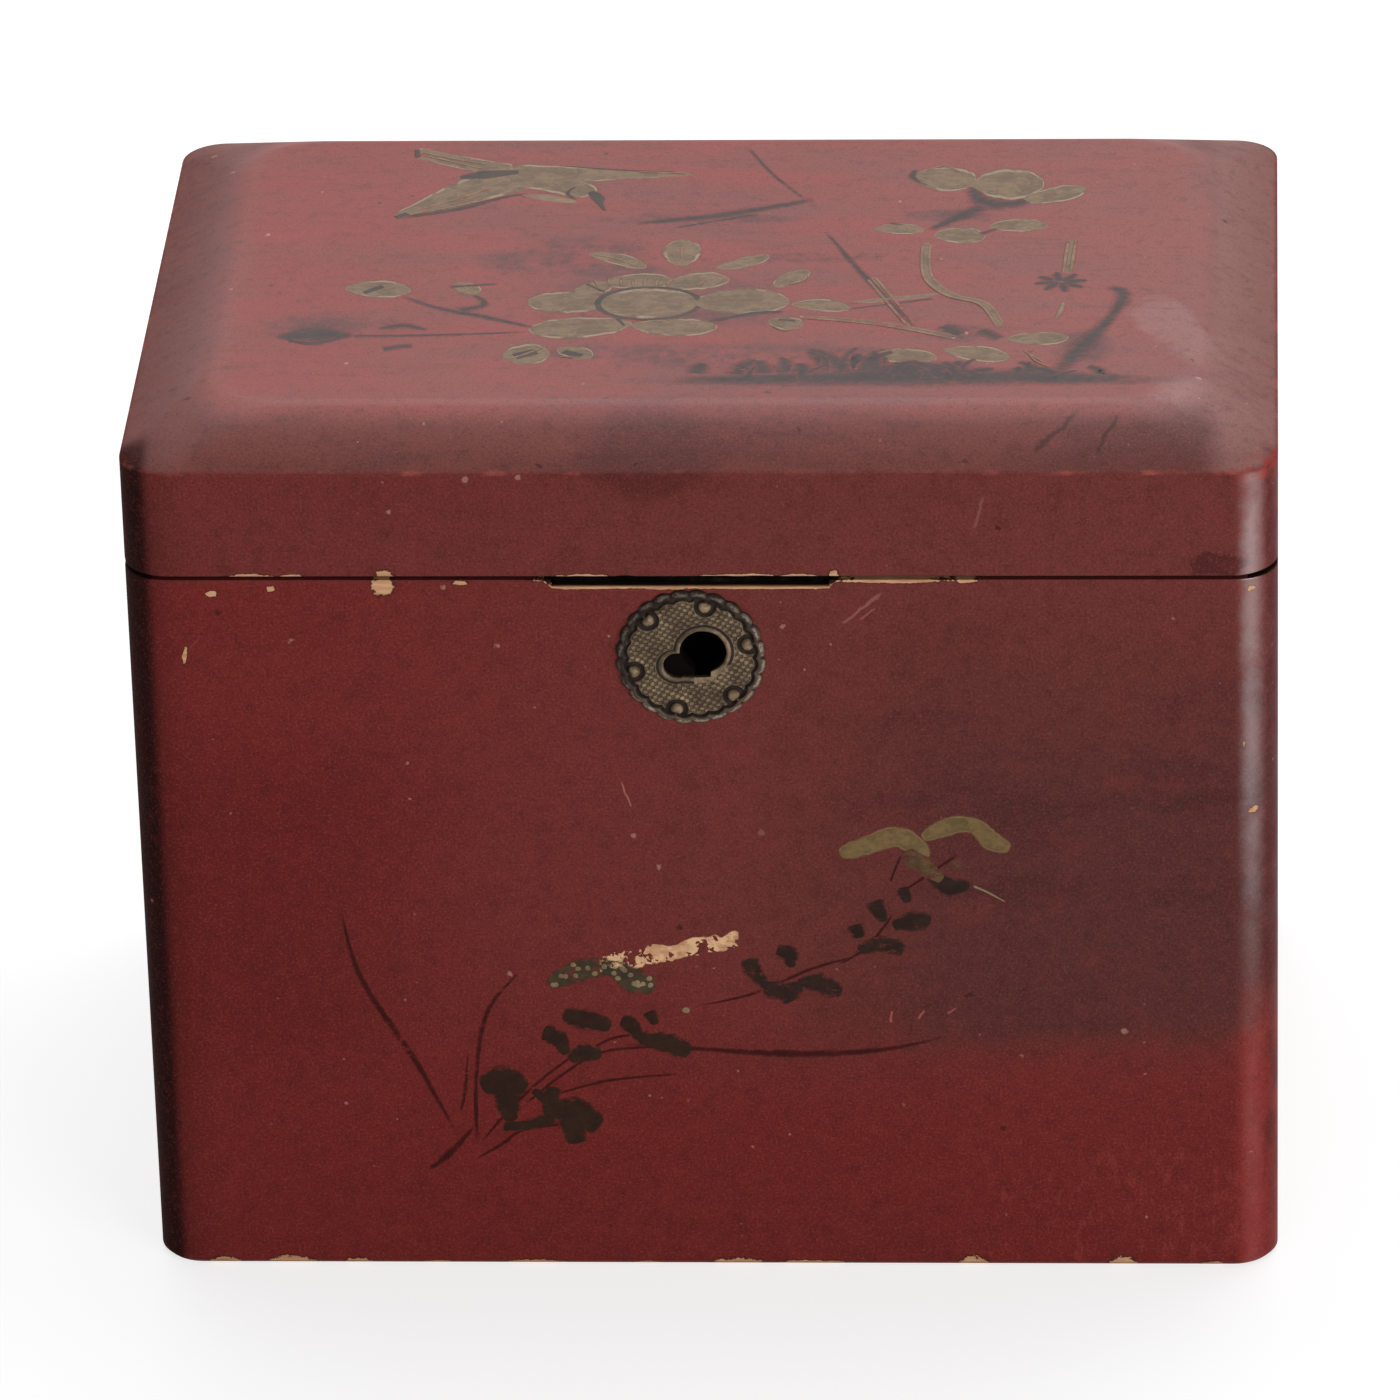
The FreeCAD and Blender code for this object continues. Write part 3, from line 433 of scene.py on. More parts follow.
lacquer_gloss = 0.05                    # old lacquer has lost most of its polish
lacquer = Finish("red_lacquer")
lac_colour, lac_roughness, lac_shine, lac_relief = lacquer_colour(lacquer)
lac_colour = lacquer.washes(lac_colour, [
    (scratch(lacquer, start, end, half) * 0.7, tone(*scored)) for start, end, half, scored in (
        ((19.6, 103.0), (25.8, 108.2), 0.32, (146, 92, 84)),
        ((22.2, 103.6), (24.6, 105.6), 0.24, (140, 84, 78)),
        ((-10.2, 74.2), (-11.6, 78.4), 0.18, (170, 110, 98)),
        ((-72.2, 97.6), (-69.4, 101.2), 0.16, (128, 60, 54)),
        ((38.2, 117.6), (39.8, 123.0), 0.3, (134, 80, 76)),
        ((25.8, 41.7), (25.5, 39.7), 0.24, (176, 92, 84)),
        ((30.3, 41.8), (29.3, 40.3), 0.24, (168, 88, 80)),
        ((34.8, 42.1), (33.5, 41.2), 0.24, (160, 84, 78)),
        ((46.3, 127.9), (52.9, 130.9), 0.36, (66, 38, 37)),
        ((55.0, 127.7), (58.4, 130.9), 0.36, (66, 38, 37)))])
flake = lacquer.own("worn") + (lacquer.cloud(1.1, detail=4, roughness=0.7) - 0.5) * 0.9
broken = flake.rise(0.42, 0.5)
lac_colour = lacquer.washes(lac_colour, ((flake.rise(0.28, 0.42) * 0.7, tone(60, 26, 24)),
                                         (broken, bare_wood_colour(lacquer))))
lacquer.surface(lac_colour, lac_roughness + broken * 0.3, height=lac_relief - broken * 3.0,
                depth=0.06, coat=lac_shine * (1 - broken), gloss=lacquer_gloss)

# The skin is one coat over each body: it runs round the corners and over the boards' joints.
corner_radius = 6.3
corner_steps = 12
side_steps = (220, 120, 220, 120)       # back, left, front, right
coat = 0.05                             # lacquer over the wood
skin_ring = []
for corner in range(4):
    skin_ring += [(corner, i / corner_steps, True) for i in range(corner_steps)]
    skin_ring += [(corner, i / side_steps[corner], False) for i in range(side_steps[corner])]


def plan_point(step, inset, radius):
    """A point of the caddy's rounded plan, inset all round."""
    corner, part, turning = skin_ring[step]

    def at(k, angle):
        sx, sy = ((1, 1), (-1, 1), (-1, -1), (1, -1))[k % 4]
        return Vector((sx * (half_width - inset - radius) + radius * math.cos(angle),
                       sy * (back_y - inset - radius) + radius * math.sin(angle)))
    if turning:
        return at(corner, (corner + part) * math.pi / 2)
    angle = (corner + 1) * math.pi / 2
    return at(corner, angle).lerp(at(corner + 1, angle), part)


def next_ring(bm, edges):
    """Draws a ring of edges out by one row, and gives the new row's points and edges."""
    grown = bmesh.ops.extrude_edge_only(bm, edges=edges)["geom"]
    loop = [g for g in grown if isinstance(g, bmesh.types.BMVert)]
    fresh = set(loop)
    return loop, [g for g in grown
                  if isinstance(g, bmesh.types.BMEdge) and fresh.issuperset(g.verts)]


def skin(rows):
    """A lacquer skin as one ring of points drawn through rows of (inset, corner radius, height)."""
    bm = bmesh.new()
    step = bm.verts.layers.int.new("step")
    loop = bmesh.ops.create_circle(bm, segments=len(skin_ring), radius=1)["verts"]
    for i, vert in enumerate(loop):
        vert[step] = i
    edges = bm.edges[:]
    for number, (inset, radius, height) in enumerate(rows):
        if number:
            loop, edges = next_ring(bm, edges)
        for vert in loop:
            vert.co = Vector((*plan_point(vert[step], inset, radius), height))
    return bm, edges


def spread(low, high, steps):
    """Even steps from low, left out, to high."""
    return [low + (high - low) * i / steps for i in range(1, steps + 1)]


def chipped(bm, chips, edge_z, reach, moved):
    """Marks the broken places, and moves the edge by the seam to its worn line."""
    worn = bm.verts.layers.float.new("worn")
    for vert in bm.verts:
        x, y, z = vert.co
        on_side = abs(y) < back_y - corner_radius
        facing = ("l" if x < 0 else "r") if on_side else "f" if y < 0 else "b"
        along = y if on_side else x
        most = 0.0
        for side, cx, cz, rx, rz in chips:
            if side == facing and abs(along - cx) < rx * 1.5 and abs(z - cz) < rz * 1.5:
                most = max(most, 1 - math.hypot((along - cx) / rx, (z - cz) / rz) * 0.55)
        vert[worn] = most
        near = max(0.0, 1 - abs(z - edge_z) / reach)
        if near > 0:
            vert.co.z += near * moved(x, y)


def finished(bm, name, material, crease=0.6):
    """Makes a piece of a bmesh drawn in millimetres; edges sharper than crease stay sharp."""
    bmesh.ops.scale(bm, vec=(mm, mm, mm), verts=bm.verts)
    bmesh.ops.recalc_face_normals(bm, faces=bm.faces)
    for face in bm.faces:
        face.smooth = True
    for edge in bm.edges:
        edge.smooth = edge.calc_face_angle(0.0) < crease
    mesh = bpy.data.meshes.new(name)
    bm.to_mesh(mesh)
    bm.free()
    mesh.materials.append(material)
    piece = bpy.data.objects.new(name, mesh)
    bpy.context.collection.objects.link(piece)
    return piece


hinge_place = frame["record"]["behaviour"]["joints"][0]["pos_m"]
pin_y, pin_z = hinge_place[1] / mm, hinge_place[2] / mm
lid_opens = 100.2                       # degrees; the coat is rubbed thin where the bevels meet
bevel = math.tan(math.radians(lid_opens / 2))
bevel_deep = (back_y + coat - pin_y) * bevel
hinges = [sum(corner[0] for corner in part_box(f"hinge_pin_{side}")) / 2 / mm
          for side in ("left", "right")]
knuckle_reach, knuckle_half = 2.3, 9.8  # of the gap left in the coat round each hinge


def bevelled(bm, on_lid):
    """Follows the bevel along the back edge, and leaves the hinge knuckles free."""
    sign = 1 if on_lid else -1
    for vert in bm.verts:
        slack = pin_y + sign * (vert.co.z - pin_z) / bevel
        if vert.co.y > max(slack, pin_y) and sign * (vert.co.z - pin_z) > 0:
            vert.co.y = max(slack, pin_y)
    doomed = []
    for face in bm.faces:
        centre = face.calc_center_median()
        if (math.hypot(centre.y - pin_y, centre.z - pin_z) < knuckle_reach
                and any(abs(centre.x - h) < knuckle_half for h in hinges)):
            doomed.append(face)
    bmesh.ops.delete(bm, geom=doomed, context="FACES")


random.seed(7)
# Chips on the back and the sides: the side, the place along it, the edge's height, and how wide and
# how high each chip is to either side.
edge_chips = []
for side, reach_along, count in (("b", 72, 9), ("l", 46, 7), ("r", 46, 7)):
    for edge_z in (box_top, 0.0):
        edge_chips += [(side, random.uniform(-reach_along, reach_along), edge_z,
                        random.uniform(0.5, 2.2), random.uniform(0.4, 1.1)) for _ in range(count)]
# Chips on the front: the place along it, the depth below the seam or the height over the foot, and
# how wide and how high each chip is to either side.
seam_chips = [
    (-43.7, 0.9, 1.5, 1.5), (-67.6, 2, 0.8, 0.5), (-59.3, 1.3, 0.7, 0.5), (-33, 0.4, 1.2, 0.4),
    (-15, 0.05, 7, 0.28), (-5, 0.1, 5, 0.32), (8, 0.05, 11, 0.3),
    (27, 0.15, 9, 0.32), (37, 0.15, 1.7, 0.34), (-20.5, 15.2, 0.5, 0.5),
    (-71.7, 11.8, 0.35, 0.35), (-75.5, 41.8, 1.9, 0.45), (-70.4, 42.6, 1, 0.45),
    (76.6, 36.2, 0.7, 0.6), (75.6, 25.7, 0.35, 0.8), (76.4, 1.5, 0.5, 0.5)]
foot_chips = [
    (-70.5, 0.2, 2.4, 1), (-61, 0.2, 3.4, 1.2), (-51.5, 0.2, 2, 1), (-40, 0.1, 2, 0.5),
    (-26, 0.1, 4.4, 0.8), (-10, 0.1, 2, 0.5), (3, 0.1, 4, 1.1), (14, 0.1, 6, 0.8),
    (37, 0.1, 2, 1.6), (58, 0.1, 2, 1.4), (71, 0.1, 1.6, 0.8)]
box_chips = edge_chips + [("f", along, box_top - down, wide, high)
                          for along, down, wide, high in seam_chips]
box_chips += [("f", along, height, wide, high) for along, height, wide, high in foot_chips]
lock_low, lock_high = [corner[0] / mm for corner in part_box("lock_plate")]


def box_edge(x, y):
    """How far the box's top edge has worn down: the lip before the lock is gone."""
    if y >= 0:
        return 0.0
    rough = abs(noise.noise(Vector((x * 0.45, y * 0.45, 3.0)))) * 0.14
    past_lock = abs(x - (lock_low + lock_high) / 2) - (lock_high - lock_low) / 2
    at_lock = min(1.0, max(0.0, 1 - past_lock / 0.8))
    return -at_lock * (1.1 + rough) - max(0.0, abs(x) - 75) / 5 * 0.3


foot_ease = 0.8                         # small bevel along the foot
full = corner_radius + coat
lip_in, rim_in = 1.1, 0.4               # how far the coat runs in over the edges at the seam
under_foot = 1.4                        # and under the foot
side_chips_low, side_chips_high = 72.6, 74.6
rows = [(under_foot, corner_radius - under_foot, -0.02),
        (foot_ease - coat, corner_radius - foot_ease, -coat * 0.2),
        (foot_ease / 2 - coat, full - foot_ease / 2, foot_ease / 2 - coat),
        (-coat, full, foot_ease)]
for low, high, steps in (
        (foot_ease, 6, 8), (6, side_chips_low, 17), (side_chips_low, side_chips_high, 5),
        (side_chips_high, 84, 4), (84, 105, 9), (105, pin_z - bevel_deep, 5),
        (pin_z - bevel_deep, box_top - 0.12, 5)):
    rows += [(-coat, full, z) for z in spread(low, high, steps)]
rows += [(-coat, full, box_top), (-coat / 3, full - coat, box_top + coat),
         (rim_in, corner_radius - rim_in, box_top + coat),
         (lip_in, corner_radius - lip_in, box_top + coat)]
box_bm, _ = skin(rows)
chipped(box_bm, box_chips, box_top, 4.0, box_edge)
bevelled(box_bm, False)
plate_low, plate_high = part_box("escutcheon")
plate_x = (plate_low[0] + plate_high[0]) / 2 / mm
plate_z = (plate_low[2] + plate_high[2]) / 2 / mm
bare_under_plate = 8.5                  # radius without a coat, under the escutcheon
under_plate = []
for face in box_bm.faces:
    centre = face.calc_center_median()
    from_plate = math.hypot(centre.x - plate_x, centre.z - plate_z)
    if centre.y < front_y + 1 and from_plate < bare_under_plate:
        under_plate.append(face)
bmesh.ops.delete(box_bm, geom=under_plate, context="FACES")
box_skin = finished(box_bm, "box_lacquer", lacquer.material, 0.9)
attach(box_skin, "case")

# ---- Lid lacquer --------------------------------------------------------------------------
# The lid's coat: an upright band, a sharp arris, a straight slope and a soft round up to the flat,
# with the plan's corners opening out as the cushion rises.
slope = math.radians(26)
cushion_inset, hip_growth, cushion_rise = 12.6, 0.43, lid_high - arris
solve = math.sin(slope) ** 2 - math.cos(slope) * (1 - math.cos(slope))
run = (cushion_rise * math.sin(slope) - cushion_inset * (1 - math.cos(slope))) / solve
round_radius = (cushion_inset * math.sin(slope) - cushion_rise * math.cos(slope)) / solve
lid_rows = [(lip_in, corner_radius - lip_in, lid_low - coat),
            (rim_in, corner_radius - rim_in, lid_low - coat),
            (-coat / 3, full - coat, lid_low - coat), (-coat, full, lid_low)]
for low, high, steps in ((lid_low + 0.1, pin_z + bevel_deep, 5),
                         (pin_z + bevel_deep, lid_low + 4, 4), (lid_low + 4, arris - 0.3, 9)):
    lid_rows += [(-coat, full, z) for z in spread(low, high, steps)]
lid_rows.append((-coat, full, arris - 0.02))
cushion = [(along * math.cos(slope), along * math.sin(slope), slope)
           for along in [0] + spread(0, run, 7)]
for left in spread(0, 1, 9):
    angle = slope * (1 - left)
    cushion.append((cushion_inset - round_radius * math.sin(angle),
                    cushion_rise - round_radius * (1 - math.cos(angle)), angle))
for inset, height, angle in cushion:
    outward = coat * math.sin(angle)
    lid_rows.append((inset - outward, corner_radius + hip_growth * inset + outward,
                     arris + height + coat * math.cos(angle)))
flat_radius = corner_radius + hip_growth * cushion_inset
for inset in spread(cushion_inset, 50, 9):
    lid_rows.append((inset, max(2.0, flat_radius - (inset - cushion_inset) * 0.3), lid_high + coat))
lid_chips = [("f", along, lid_low, wide, high) for along, wide, high in (
    (-43.3, 1.3, 0.9), (-62.0, 3.0, 0.4), (-56.5, 1.4, 0.35), (-16.0, 4.0, 0.3), (6.0, 5.0, 0.3),
    (14.0, 3.0, 0.3), (18.8, 0.8, 0.8))]
lid_chips += [(side, along, lid_low, wide, high)
              for side, along, edge_z, wide, high in edge_chips if edge_z]


def lid_edge(x, y):
    """How far the lid's lower edge has worn up."""
    if y >= 0:
        return 0.0
    over_lock = abs(x) < 20
    ragged = max(0.0, noise.noise(Vector((x * 0.35, y * 0.35, 9.0)))) * 0.3 if over_lock else 0.0
    return ragged + max(0.0, abs(x) - 75) / 5 * 0.3


lid_bm, last = skin(lid_rows)
bmesh.ops.edgeloop_fill(lid_bm, edges=last)
chipped(lid_bm, lid_chips, lid_low, 4.0, lid_edge)
bevelled(lid_bm, True)
lid_skin = finished(lid_bm, "lid_lacquer", lacquer.material, 0.35)
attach(lid_skin, "lid")

# ---- Painted lid --------------------------------------------------------------------------
# A bird over an open flower, with sprigs and a strip of ground: a common spray, drawn by brush in
# gold and silver powders and thin black over the finished lacquer, and rubbed since.


def along_line(path, t):
    """Place and direction at t, from 0 to 1, on the smooth line through a stroke's points."""
    last = len(path) - 1
    i = min(int(t * last), last - 1)
    a, b, c, d = (Vector(path[max(0, min(last, i + k))]) for k in (-1, 0, 1, 2))
    s = t * last - i
    bend, twist = a - b * 2.5 + c * 2 - d * 0.5, (d - a) * 0.5 + (b - c) * 1.5
    place = b + (c - a) * (s / 2) + bend * s ** 2 + twist * s ** 3
    return place, (c - a) / 2 + bend * 2 * s + twist * 3 * s * s


paint_thickness = 0.03


class Paint:
    """Brush strokes of one colour on one face of the caddy, as thin raised ribbons."""

    def __init__(self, put, layer=0, laden=1.0):
        self.bm = bmesh.new()
        self.put = put
        self.layer = layer              # coats of paint that lie under it
        self.laden = laden              # how far a full brush spreads past the drawn width
        self.rim = self.bm.verts.layers.float.new("rim")
        self.across = self.bm.verts.layers.float.new("across")
        self.count = 0

    def stroke(self, path, widths, blunt=0, steps=16):
        """A stroke through the path's points. widths are half widths, blunt rounds its ends."""
        self.count += 1
        lift = paint_thickness * (1 + self.layer + self.count % 9 / 9)
        for vert in bmesh.ops.create_grid(self.bm, x_segments=steps, y_segments=6, size=1)["verts"]:
            t, across = (vert.co.x + 1) / 2, vert.co.y
            place, way = along_line(path, t)
            part = t * (len(widths) - 1)
            i = min(int(part), len(widths) - 2)
            half = (widths[i] + (widths[i + 1] - widths[i]) * (part - i)) * self.laden
            if blunt:
                half *= max(0.0, 1 - abs(2 * t - 1) ** blunt) ** 0.5
            off = Vector((-way.y, way.x)).normalized() * half * across
            off *= 1 + 0.12 * noise.noise(Vector((*(place * 0.9), across + self.count)))
            ends = min(1.0, 8 * t, 8 * (1 - t))
            vert[self.rim] = max(abs(across), 1 - min(t, 1 - t) * 6)
            vert[self.across] = across * widths[len(widths) // 2]
            vert.co = self.put(*(place + off), lift * (1 - across ** 4) * ends)

    def strokes(self, table, blunt=0, steps=16):
        """Strokes of one kind, each given as its points and its half widths."""
        for path, widths in table:
            self.stroke(path, widths, blunt, steps)

    def leaf(self, x, y, angle, length, half, curve=0.0):
        """A leaf or petal about its middle."""
        turned = math.radians(angle)
        way = Vector((math.cos(turned), math.sin(turned))) * length / 2
        bow = Vector((-way.y, way.x)) * curve
        middle = Vector((x, y))
        self.stroke([middle - way, middle + bow, middle + way],
                    [half * share for share in (0.3, 0.8, 1, 0.95, 0.4)], 3)

    def dry(self, name, material):
        """Closes the paint on its underside and makes it a piece."""
        down = (self.put(0, 0, 0) - self.put(0, 0, 1)) * paint_thickness
        under = bmesh.ops.extrude_face_region(self.bm, geom=self.bm.faces[:], use_keep_orig=True)
        bmesh.ops.translate(self.bm, vec=down, verts=[g for g in under["geom"]
                                                      if isinstance(g, bmesh.types.BMVert)])
        return finished(self.bm, name, material, 1.2)


def on_lid(x, y, height):
    return Vector((x, y, lid_high + coat + height - 0.005))


def worn_paint(name, body, rim, wear, fade=0.3, frayed=0.35, line=None, metal=0.0, cover=1.0):
    """Old paint, one colour inside and another at its rim, with outline and brush hairs in a third.
    Its edge is frayed and fades over a share of its width, and wear rubs it through to the coat."""
    f = Finish(name)
    ground, roughness, shine, relief = lacquer_colour(f)
    dabs = f.cloud(0.7, (0.6, 1, 1), detail=4, roughness=0.7)
    drift = f.cloud(3.4, detail=4)
    rim_at = f.own("rim")
    uneven = dabs - 0.5

    def shaded(share):
        return tone(*(min(255, c * share) for c in body))

    colour = f.washes(tone(*body), (
        (drift.rise(0.4, 0.6), shaded(0.84)),
        (dabs.rise(0.46, 0.68) * 0.42, shaded(0.68)),
        (dabs.rise(0.46, 0.3) * 0.4, shaded(1.2)),
        ((rim_at + uneven * 0.4).rise(0.62, 0.86) * 0.8, tone(*rim))))
    if line:
        hairs = (f.own("across") + (drift - 0.5) * 7).wave(1.9).rise(0.6, 0.98)
        outlined = rim_at.rise(0.66, 0.76) * rim_at.rise(0.9, 0.82) * drift.rise(0.4, 0.56)
        colour = f.washes(colour, ((hairs * dabs.rise(0.4, 0.64) * 0.26, tone(*line)),
                                   (outlined * 0.7, tone(*line))))
    rubbed = f.cloud(1.3, (0.5, 1, 1), detail=5, roughness=0.75) + f.cloud(14, detail=2) * 0.6
    rubbed = rubbed.rise(1.02 - wear, 1.16 - wear)
    left = (1 - rim_at + uneven * frayed).rise(0.02, fade) * (1 - rubbed) * cover
    f.surface(f.mix(left, ground, colour), roughness, metal=left * metal,
              height=relief + dabs * left, depth=0.05, coat=shine * 0.8, gloss=lacquer_gloss)
    return f.material


powder = worn_paint("gold_powder", (128, 102, 78), (92, 70, 58), 0.03, 0.2, 0.4,
                    line=(176, 156, 126), metal=0.1)
shade = worn_paint("thin_black", (62, 51, 50), (64, 51, 50), 0.1, 0.9, 1.1, cover=0.94)

gold = Paint(on_lid)
for path, widths, blunt in (
        # forked tail
        ([(-31, 33), (-37.6, 36.2), (-44.8, 40.2)], (2.2, 1.5, 0.7), 0),
        ([(-32, 31.8), (-38, 34.6), (-44.4, 37.6)], (1.8, 1.2, 0.5), 0),
        # near wing, far wing
        ([(-46.2, 16.8), (-39.4, 22.6), (-32.6, 28.4), (-27, 32)], (0.8, 3.6, 5.2, 3.6), 0),
        ([(-31, 31.6), (-23.6, 31.2), (-14, 31.2), (-3.8, 31.4)], (3.8, 3.6, 1.9, 0.4), 0),
        # back and neck
        ([(-33.5, 31.4), (-27, 30), (-22.6, 27.8), (-18.4, 24.2)], (2.4, 4.4, 3.6, 2.4), 8)):
    gold.stroke(path, widths, blunt, 24)
flower_x, flower_y, disc = -8.4, -12.1, 7.1
petals = (
    (-19.6, -11.8, 178, 12.2, 4, 0), (-17.6, -19.6, 188, 15, 3.9, 0.05),
    (-4.4, -19.6, -2, 12.4, 3.3, -0.06), (4.6, -11.8, 1, 14, 5, 0.04),
    (-1.8, -5.4, 16, 9.6, 3.2, 0.12), (-10.2, -5.4, 4, 10.4, 3, 0.12),
    (-16.4, -7.4, 36, 6.2, 2.4, 0.1), (-13.6, 2, -30, 9.8, 2, 0.12),
    (-4.5, 4.6, 92, 9, 3.2, 0), (4.2, 1.6, 30, 8.6, 1.9, -0.1), (11.5, -4.2, 52, 7.4, 2, 0.1),
    (11.2, -18.7, -20, 5.2, 2.4, 0), (-24.7, -28.6, 6, 6.8, 3.8, 0),
    (-18, -28.2, -30, 5.8, 2.2, 0.1), (16, -13.2, -10, 8.8, 2.2, 0.08),
    (-47, -7.4, -8, 9.6, 3.2, 0.05), (-34.4, -7, -50, 5, 2, 0),
    (32.1, 29.2, -24, 9.6, 4.8, 0.05), (41.3, 27.2, 4, 10.8, 6, 0.05),
    (47.9, 24.2, 26, 10.4, 2.9, -0.1), (26.2, 12.1, -5, 7.6, 2, 0.1),
    (34.8, 9.8, -8, 7.4, 3.2, 0.12), (43.1, 13.3, 2, 8.6, 2.5, 0.06),
    (27.9, -29.6, -6, 10, 2.7, 0.08), (38.2, -28.8, -16, 9.8, 2.8, 0.05),
    (46.6, -23.6, 3, 8.8, 2.5, -0.06))
for petal in petals:
    gold.leaf(*petal)
gold.stroke([(flower_x - disc, flower_y), (flower_x, flower_y), (flower_x + disc, flower_y)],
            (5.6, 5.6), 2)
light = Paint(on_lid, 2)
pale_belly = [(-28.8, 24.2), (-25, 23.3), (-20.2, 21.6)]
light.stroke(pale_belly, (0.5, 1.5, 0.9), 3)
for number, tall in enumerate((2.2, 3.4, 3.8, 3.2, 3.6, 3.0, 2.4)):          # stamens
    x, foot = -15.6 + number * 1.6, -6.6
    light.stroke([(x, foot - 0.4), (x - 0.5 + number * 0.1, foot + tall / 2),
                  (x - 0.9 + number * 0.3, foot + tall)], (0.16, 0.3, 0.16), steps=6)
pale_lines = (
    [(-17.2, 4), (-14, 2.8), (-10.2, -0.4)], [(-4.3, 1.6), (-4.6, 5), (-4.4, 7.6)],
    [(10.2, -6.6), (13.2, -4.6), (13.4, -1.6)], [(0.8, -5.8), (2, -3.6)],
    [(-1.8, -6.6), (-0.6, -4.2)], [(-34.6, -8.2), (-33.6, -6.4)],
    [(-27, -30.2), (-24.6, -28.4), (-22.4, -26.4)], [(-20, -29.4), (-16.6, -29.8)],
    [(45.2, -28), (46.4, -31), (48.6, -33.2)], [(44.6, -27.6), (47.6, -31.6)],
    [(9.2, -19.4), (11, -21), (13.4, -19.6)], [(29, 31.8), (32, 33.8), (35.6, 30.4)],
    [(-44, 39), (-38.4, 36.4), (-33.2, 34.4)], [(-43.8, 38), (-38.4, 35.2), (-34.2, 33)],
    [(-45, 17.2), (-37.6, 20.6), (-29, 25)], [(-43.6, 18.8), (-37.4, 23.2), (-32.4, 27.2)],
    [(-5, 31.4), (-12.6, 32.2)])
for path in pale_lines:
    light.stroke(path, (0.14, 0.3, 0.14), steps=8)
for path in ([(30.3, 8.2), (30.2, 2), (31.0, -4.6), (34.2, -9.8), (38.8, -12.6), (41.6, -20.8)],
             [(20.4, -12.0), (32.2, -9.4)], [(12.8, -16.6), (24, -18.8), (35.4, -23.6)],
             [(50.9, 8.8), (50.3, -2.4)], [(22.6, -3.8), (25.2, -10.4), (28.8, -19.6)]):
    gold.stroke(path, (0.5, 0.8, 0.5), steps=24)
    for aside in (-0.55, 0.55):
        light.stroke([(x + aside, y + aside * 0.4) for x, y in path], (0.26, 0.36, 0.24), steps=24)
light.stroke([(50.0, -12), (49.6, -15), (48.9, -17.8)], (0.3, 0.5, 0.2))
silver = worn_paint("pale_powder", (146, 127, 100), (128, 106, 84), 0.2, 0.6, 0.8, cover=0.85)
gold_on_lid = gold.dry("gold_on_lid", powder)
light_on_lid = light.dry("pale_lines_on_lid", silver)

outline = Paint(on_lid, 1)
ink = Paint(on_lid, 0)
disc_edge = [(flower_x + (disc + 0.1) * math.cos(a * math.pi / 6),
              flower_y + 5.3 * math.sin(a * math.pi / 6)) for a in range(13)]
outline.stroke(disc_edge, (0.7, 0.45, 0.35, 0.5, 0.7, 0.45, 0.35, 0.45, 0.7), steps=60)
outline.strokes((
    ([(-18.8, 25.6), (-17.6, 23.4), (-17.1, 20.8)], (0.5, 1.3, 0.4)),
    ([(-17.2, 21.4), (-16.2, 18.8)], (0.5, 0.2)),
    ([(-38, 30.3), (-34, 31.3), (-29, 32.2)], (0.5, 1.9, 0.6)),
    ([(-59.6, -22.6), (-55, -20.5), (-50.4, -22.4)], (0.3, 0.6, 0.4)),
    ([(-59.6, -22.8), (-55, -25), (-50.4, -22.8)], (0.3, 0.6, 0.4)),
    ([(-46.2, 16.6), (-44.4, 18)], (0.7, 0.8)), ([(-44.5, 37.2), (-44.8, 40.2)], (0.5, 0.4)),
    ([(-20.8, 27.2), (-22, 25), (-20.8, 22.6)], (0.2, 0.4, 0.3)),
    ([(-45.4, 16.8), (-37, 20), (-28.8, 24.8)], (0.2, 0.4, 0.4)),
    ([(-49, -8.6), (-46.2, -6.2)], (0.7, 0.7)), ([(-26.4, -29.4), (-23.2, -27.6)], (1.3, 1.1)),
    ([(-19.6, -27.6), (-16.8, -29.2)], (0.9, 0.8)),
    ([(0.2, -18), (6.4, -15.6), (10.8, -14.9)], (0.3, 0.7, 0.3)),
    ([(-12.6, -17), (-11.4, -19.6)], (0.4, 0.3)), ([(10, -17.6), (12.6, -18)], (0.4, 0.4)),
    ([(-14.8, -8.4), (-17.6, -5.6)], (0.3, 0.3))))
